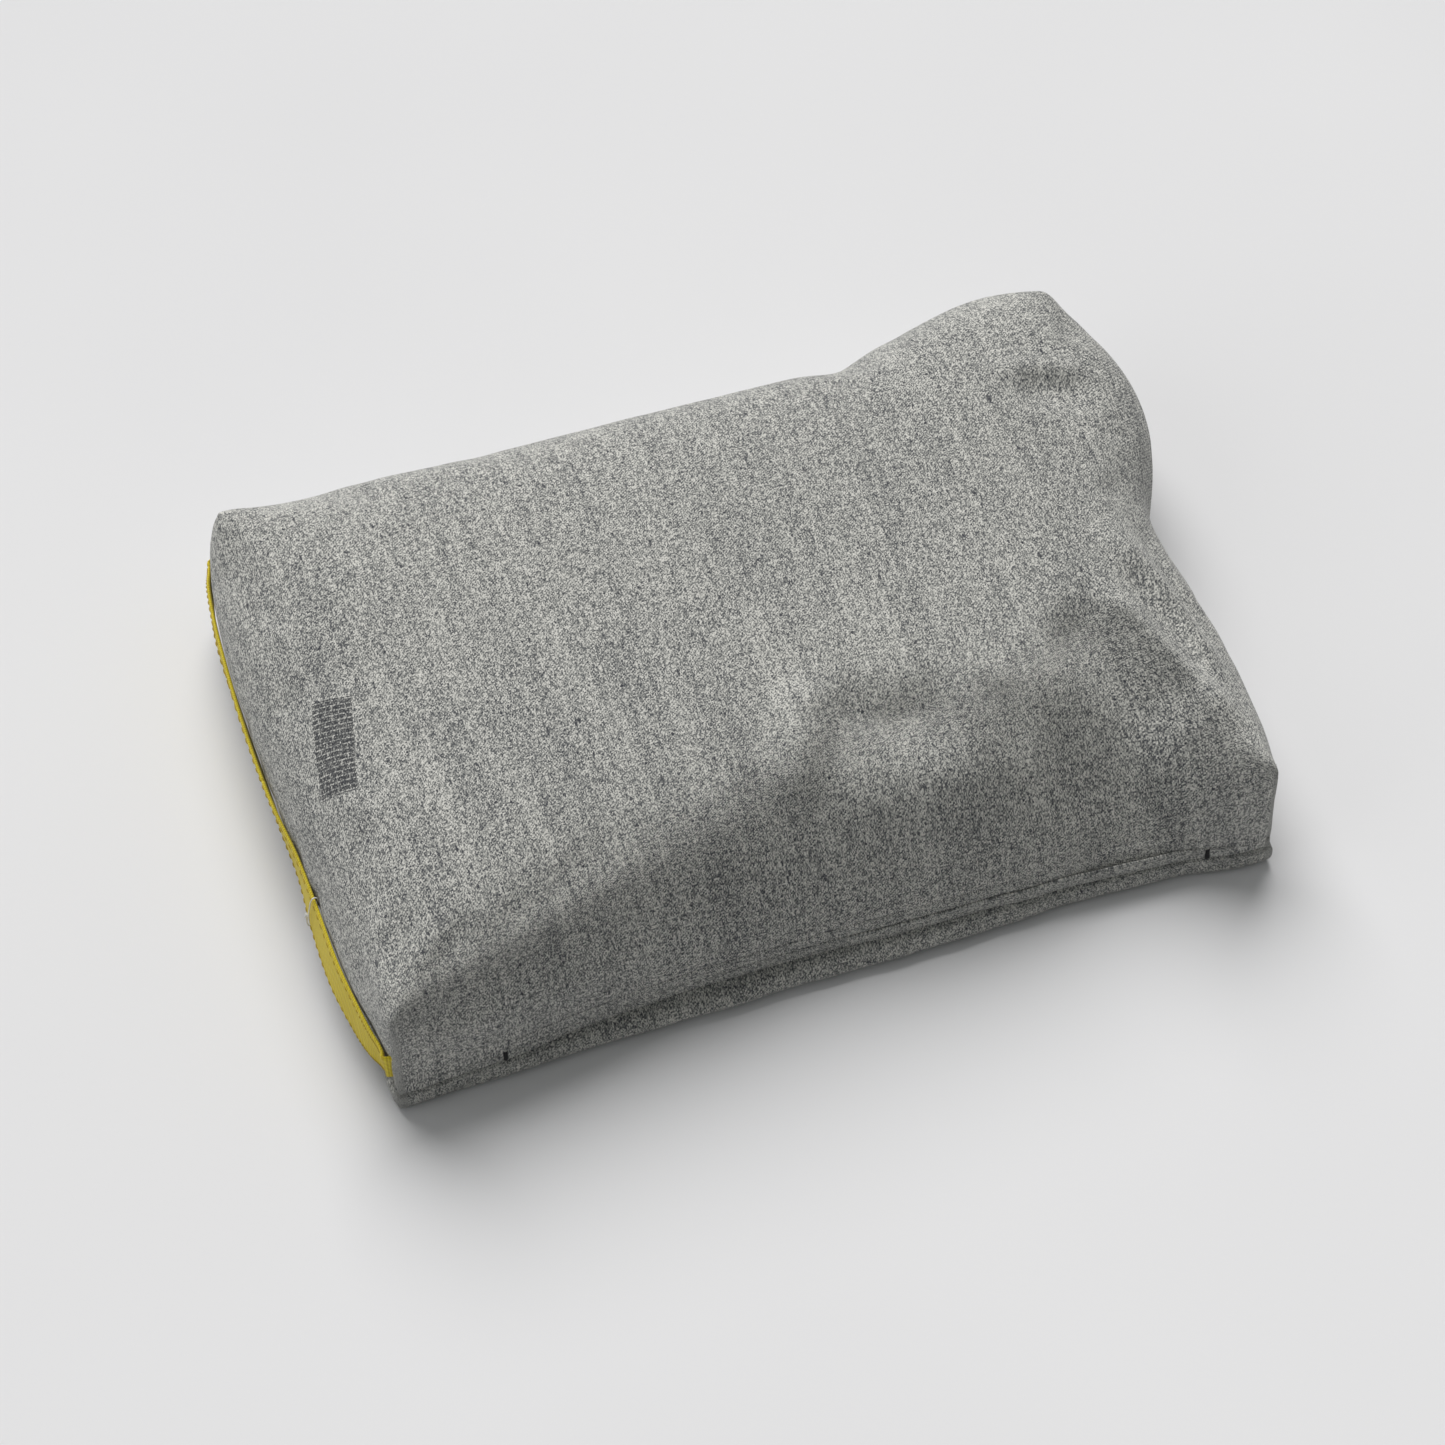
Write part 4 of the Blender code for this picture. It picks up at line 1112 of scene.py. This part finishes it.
TAG_THREAD = 0.00040
TAG_HIGH = STRAP_WIDTH / 2 + 0.0011  # half the loop's height and depth
TAG_DEEP = STRAP_THICKNESS / 2 + 0.0010
# Its way round the webbing: shares of the half width and the half thickness, and millimetres along
TAG_PATH = [
    (-0.35, 1.25, 3.4), (-0.20, 1.2, 1.6), (0.00, 1.25, 0.4), (0.45, 1.1, 0.1), (0.85, 1.05, 0.0),
    (1.05, 0.6, 0.0), (1.08, 0.0, 0.0), (1.05, -0.6, -0.1), (0.85, -1.05, -0.2), (0.45, -1.1, -0.4),
    (0.00, -1.1, -0.6), (-0.45, -1.1, -0.8), (-0.85, -1.05, -0.9), (-1.05, -0.6, -1.0), (-1.08, 0.0, -1.0),
    (-1.05, 0.6, -0.9), (-0.80, 1.1, -0.7), (-0.40, 1.5, -0.9), (-0.10, 1.6, -1.4), (-0.45, 1.5, -2.8),
    (-0.80, 1.3, -4.2),
]
TAG_KNOT = (-0.12, 1.5)
KNOT_RADIUS = 0.0007
KNOT_RISE = 0.0002
KNOT_TURN = 2.1  # radians from point to point
KNOT_THREAD = 0.00042


def build_tag_loop(route):
    """The thread left from a hang tag: once round the webbing, a knot on its outer face, and two tails."""
    middle, width, outward = strap_frame(route, TAG_SHARE)
    along = width.cross(outward).normalized()
    points = []
    for a, b, c in TAG_PATH:
        points.append(middle + width * (TAG_HIGH * a) + outward * (TAG_DEEP * b) + along * (c / 1000))
    for _ in range(2):
        finer = [points[0]]
        for a, b in zip(points, points[1:]):
            finer += [a.lerp(b, 0.25), a.lerp(b, 0.75)]
        points = finer + [points[-1]]
    knot = middle + width * (TAG_KNOT[0] * TAG_HIGH) + outward * (TAG_KNOT[1] * TAG_DEEP)
    turns = []
    for t in range(10):
        round_it = along * cos(t * KNOT_TURN) + width * sin(t * KNOT_TURN)
        turns.append(knot + round_it * KNOT_RADIUS + outward * (KNOT_RISE * (t % 3 - 1)))
    parts = [tube(points, TAG_THREAD), tube(turns, KNOT_THREAD)]
    made = piece("tag_thread", *gather(parts), WHITE_THREAD, "white_thread")
    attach(made, "strap")
    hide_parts("tag_thread_loop")


route = strap_route()
build_strap(route)
build_strap_stitches(route)
build_tag_loop(route)

# ---------------------------------------------------------------- zip

COIL_PITCH = 0.0016
COIL_WIRE = 0.00032
COIL_POINTS = 8  # in each turn
TAPE_CLOTH = 0.0005
TAPE_FLAT = 0.0018  # the upper tape runs straight up this far beside the coil
TAPE_LANDING = 0.0031  # and again this far behind the fly
TAPE_SHARES = (0.0, 0.25, 0.5, 0.75, 0.94, 1.0)  # rows of the lower tape
TAPE_STATIONS = 200
TAPE_WAVE = 0.00006


def build_coils():
    """Each coil is a helix of nylon, wound through its tape's edge."""
    for side in ("upper", "lower"):
        low, high = (Vector(corner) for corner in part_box(f"zip_coil_{side}"))
        middle = (low + high) / 2
        radius = (high.z - low.z) / 2 - COIL_WIRE
        turns = int((high.x - low.x) / COIL_PITCH)
        points = []
        count = turns * COIL_POINTS
        for k in range(count + 1):
            angle = 2 * pi * k / COIL_POINTS
            x = low.x + COIL_WIRE + (high.x - low.x - 2 * COIL_WIRE) * k / count
            points.append((x, middle.y + radius * cos(angle), middle.z + radius * sin(angle)))
        coil = piece(f"zip_coil_{side}_helix", *tube(points, COIL_WIRE, 5), COIL_NYLON, "zip_coil")
        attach(coil, "pillow")
        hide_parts(f"zip_coil_{side}")


def build_tapes():
    """The tapes, with slight waves along them."""
    low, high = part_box("zip_tape_upper")
    half = TAPE_CLOTH / 2
    y, seat = high[1] - half, low[1] + half
    upper = [(y, low[2]), (y, low[2] + TAPE_FLAT), (seat, high[2] - TAPE_LANDING), (seat, high[2])]
    low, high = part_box("zip_tape_lower")
    lower = [(high[1] - half, low[2] + (high[2] - low[2]) * t) for t in TAPE_SHARES]
    for side, path in (("upper", upper), ("lower", lower)):
        points = []
        for k in range(TAPE_STATIONS + 1):
            x = low[0] + (high[0] - low[0]) * k / TAPE_STATIONS
            for n, (y, z) in enumerate(path):
                free = 1.0 if n in (0, len(path) - 1) else 0.5
                points.append((x, y + TAPE_WAVE * sin(k * 0.9 + n) * free, z))
        faces = grid_faces(TAPE_STATIONS + 1, len(path))
        name = f"zip_tape_{side}_woven"
        tape = piece(name, points, faces, TAPE_WEAVE, "zip_tape", thickness=TAPE_CLOTH, side=0)
        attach(tape, "pillow")
        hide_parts(f"zip_tape_{side}")


def finish_metal():
    """The slider, the pull and the stops keep their CAD shapes, in nickel."""
    for name in ("zip_slider", "zip_pull", "zip_bottom_stop", "zip_top_stop_upper", "zip_top_stop_lower"):
        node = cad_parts[name]
        if not node.material_slots:
            node.data.materials.append(NICKEL)
        for material_slot in node.material_slots:
            material_slot.link = "OBJECT"
            material_slot.material = NICKEL


build_coils()
build_tapes()
finish_metal()

# ---------------------------------------------------------------- inner cushion

CASE_SEAM_Z = 0.0500
CASE_CLOTH = 0.0007
CASE_TOP_GAP = 0.0105
CASE_SIDE_GAP = 0.0135
CASE_STEP_X = 4
CASE_STEP_Y = 3
# Rings from the middle seam down: (share of the height up to it, how far in)
CASE_RINGS = [(1.00, 0.0), (0.80, 0.0003), (0.60, 0.0006), (0.40, 0.0012), (0.22, 0.0026), (0.09, 0.0058),
              (0.00, 0.0120)]
CASE_SIDES = (0.33, 0.66, 1.0)  # rings between the rim of its top and its middle seam
CASE_FLOOR = 0.0022
TOP_GAP_FULL = 1.1  # the gap is the top's where the cloth faces up, and grows to the side's
FILL_INSET = 0.0013  # the wadding lies this far inside the case
FILL_LUMP = 0.0006
FILL_LUMPS_PER_M = 45
ZIP_ROOM = 0.0016  # between the case and the back of the slider


def case_ring(columns, centre, high, inward, inset):
    """A level ring of the stuffing inside the walls, at a share of the height up to its middle seam."""
    z = CASE_FLOOR + inset + (CASE_SEAM_Z - CASE_FLOOR - inset) * high
    ring = np.array([wall_point(c, max(z, SEAM_Z + CASE_FLOOR)) for c in columns])
    toward = centre - ring
    ring += toward / np.linalg.norm(toward[:, :2], axis=1)[:, None] * (CASE_SIDE_GAP + inward + inset)
    ring[:, 2] = z
    return ring


def add_ring(points, ring):
    """Adds a ring's points to the list, and gives their numbers."""
    points.extend(ring)
    return list(range(len(points) - len(ring), len(points)))


def ring_faces(rings):
    """Quads between closed rings of point numbers, from the highest down."""
    faces = []
    for upper, lower in zip(rings, rings[1:]):
        for c in range(len(upper)):
            d = (c + 1) % len(upper)
            faces.append((upper[d], upper[c], lower[c], lower[d]))
    return faces


def core_form(inset):
    """The stuffing's form inside the cover: points, faces over the top, and faces below its middle seam."""
    normals = skin.normals()
    flat = np.clip(normals[:, 2], 0, 1)
    gap = CASE_SIDE_GAP + (CASE_TOP_GAP - CASE_SIDE_GAP) * ease(flat * TOP_GAP_FULL) + inset
    moved = skin.points - normals * gap[:, None]
    grid = skin.top[::CASE_STEP_X, ::CASE_STEP_Y]
    points = list(moved[grid.ravel()])
    deep, wide = grid.shape
    top = []
    for i in range(deep - 1):
        for j in range(wide - 1):
            here = i * wide + j
            top.append((here, here + wide, here + wide + 1, here + 1))
    columns = [c for c, (i, j) in enumerate(skin.rim) if i % CASE_STEP_X == 0 and j % CASE_STEP_Y == 0]
    on_rim = (skin.rim[c] for c in columns)
    rows = [[i // CASE_STEP_X * wide + j // CASE_STEP_Y for i, j in on_rim]]
    centre = moved[skin.top].mean(axis=(0, 1))
    rings = [case_ring(columns, centre, high, inward, inset) for high, inward in CASE_RINGS]
    rim = np.array([points[k] for k in rows[0]])
    for share in CASE_SIDES:
        rows.append(add_ring(points, rim + (rings[0] - rim) * share))
    below = [rows[-1]] + [add_ring(points, ring) for ring in rings[1:]]
    points.append(np.array([centre[0], centre[1], CASE_FLOOR + inset]))
    behind_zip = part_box("zip_slider")[1][1] + ZIP_ROOM + inset
    for point in points:
        if point[2] <= CASE_SEAM_Z + 0.001:
            point[1] = max(point[1], behind_zip)
    bottom = ring_faces(below)
    foot = below[-1]
    for c in range(len(foot)):
        bottom.append((foot[(c + 1) % len(foot)], foot[c], len(points) - 1))
    return np.array(points), top + ring_faces(rows), bottom


def own_points(points, faces):
    """The points that faces use, and the faces renumbered."""
    used = sorted({k for face in faces for k in face})
    number = {k: n for n, k in enumerate(used)}
    return points[used], [tuple(number[k] for k in face) for face in faces]


def build_inner():
    """The inner case's two halves, and the wadding in them."""
    points, top, bottom = core_form(0.0)
    for half, faces, flat in (("top", top, (0.56, 0.42)), ("bottom", bottom, (0.54, 0.40))):
        own, numbered = own_points(points, faces)
        name = f"case_{half}_cotton"
        case = piece(name, own, numbered, CASE_COTTON, "case_cloth", thickness=CASE_CLOTH)
        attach(case, "pillow")
        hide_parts(f"inner_case_{half}")
    points, top, bottom = core_form(FILL_INSET)
    points[:, 2] += [FILL_LUMP * noise.noise(Vector(p) * FILL_LUMPS_PER_M) for p in points]
    fill = piece("fibre_wadding", points, top + bottom, WADDING, "fill_fibre")
    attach(fill, "pillow")
    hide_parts("fibre_fill")


build_inner()

# ---------------------------------------------------------------- floor, light and camera

CAMERA_AT = Vector((-0.40643, -1.17596, 1.93462)) + SHIFT
CAMERA_FORWARD = Vector((0.17326, 0.51232, -0.84114))
CAMERA_TURN = radians(18.6846)
CAMERA_LENS = 100.79
SENSOR = 36.0
FLOOR_SIZE = 16.0
FLOOR_CELLS = 24
WORLD_COLOUR = (0.97, 0.99, 0.96, 1)
WORLD_STRENGTH = 0.195
# Each light: the way towards it, its width in degrees, its strength and its colour
SUNS = {
    "window": ((0.05, 0.86, 1.00), 48, 3.03, (1.0, 0.99, 0.98)),
    "side_window": ((-1.0, 0.15, 0.60), 50, 0.34, (0.97, 0.98, 1.0)),
}


def build_floor():
    """A plain pale floor at height 0."""
    at = [FLOOR_SIZE * (i / FLOOR_CELLS - 0.5) for i in range(FLOOR_CELLS + 1)]
    points = [(x, y, 0.0) for x in at for y in at]
    faces = [face[::-1] for face in grid_faces(len(at), len(at))]
    piece("floor", points, faces, FLOOR, None)


def add_sun(name, toward, width, strength, colour):
    """A wide, even light from a direction, like a big window far away."""
    data = bpy.data.lights.new(name, "SUN")
    data.angle = radians(width)
    data.energy = strength
    data.color = colour
    lamp = bpy.data.objects.new(name, data)
    lamp.rotation_euler = Vector(toward).to_track_quat("Z", "Y").to_euler()
    bpy.context.scene.collection.objects.link(lamp)


def build_lights():
    """Even light from all round, and two wide windows."""
    world = bpy.data.worlds.new("studio")
    world.use_nodes = True
    background = world.node_tree.nodes["Background"]
    background.inputs["Color"].default_value = WORLD_COLOUR
    background.inputs["Strength"].default_value = WORLD_STRENGTH
    bpy.context.scene.world = world
    for name, (toward, width, strength, colour) in SUNS.items():
        add_sun(name, toward, width, strength, colour)
    bpy.context.scene.view_settings.view_transform = "Standard"


def build_camera():
    """The camera, at the photograph's view."""
    data = bpy.data.cameras.new("camera")
    data.lens = CAMERA_LENS
    data.sensor_width = SENSOR
    data.clip_end = 20
    camera = bpy.data.objects.new("camera", data)
    right = Vector((cos(CAMERA_TURN), -sin(CAMERA_TURN), 0))
    up = right.cross(CAMERA_FORWARD).normalized()
    turn = Matrix((right, up, -CAMERA_FORWARD)).transposed().to_4x4()
    camera.matrix_world = Matrix.Translation(CAMERA_AT) @ turn
    bpy.context.scene.collection.objects.link(camera)
    bpy.context.scene.camera = camera


build_floor()
build_lights()
build_camera()
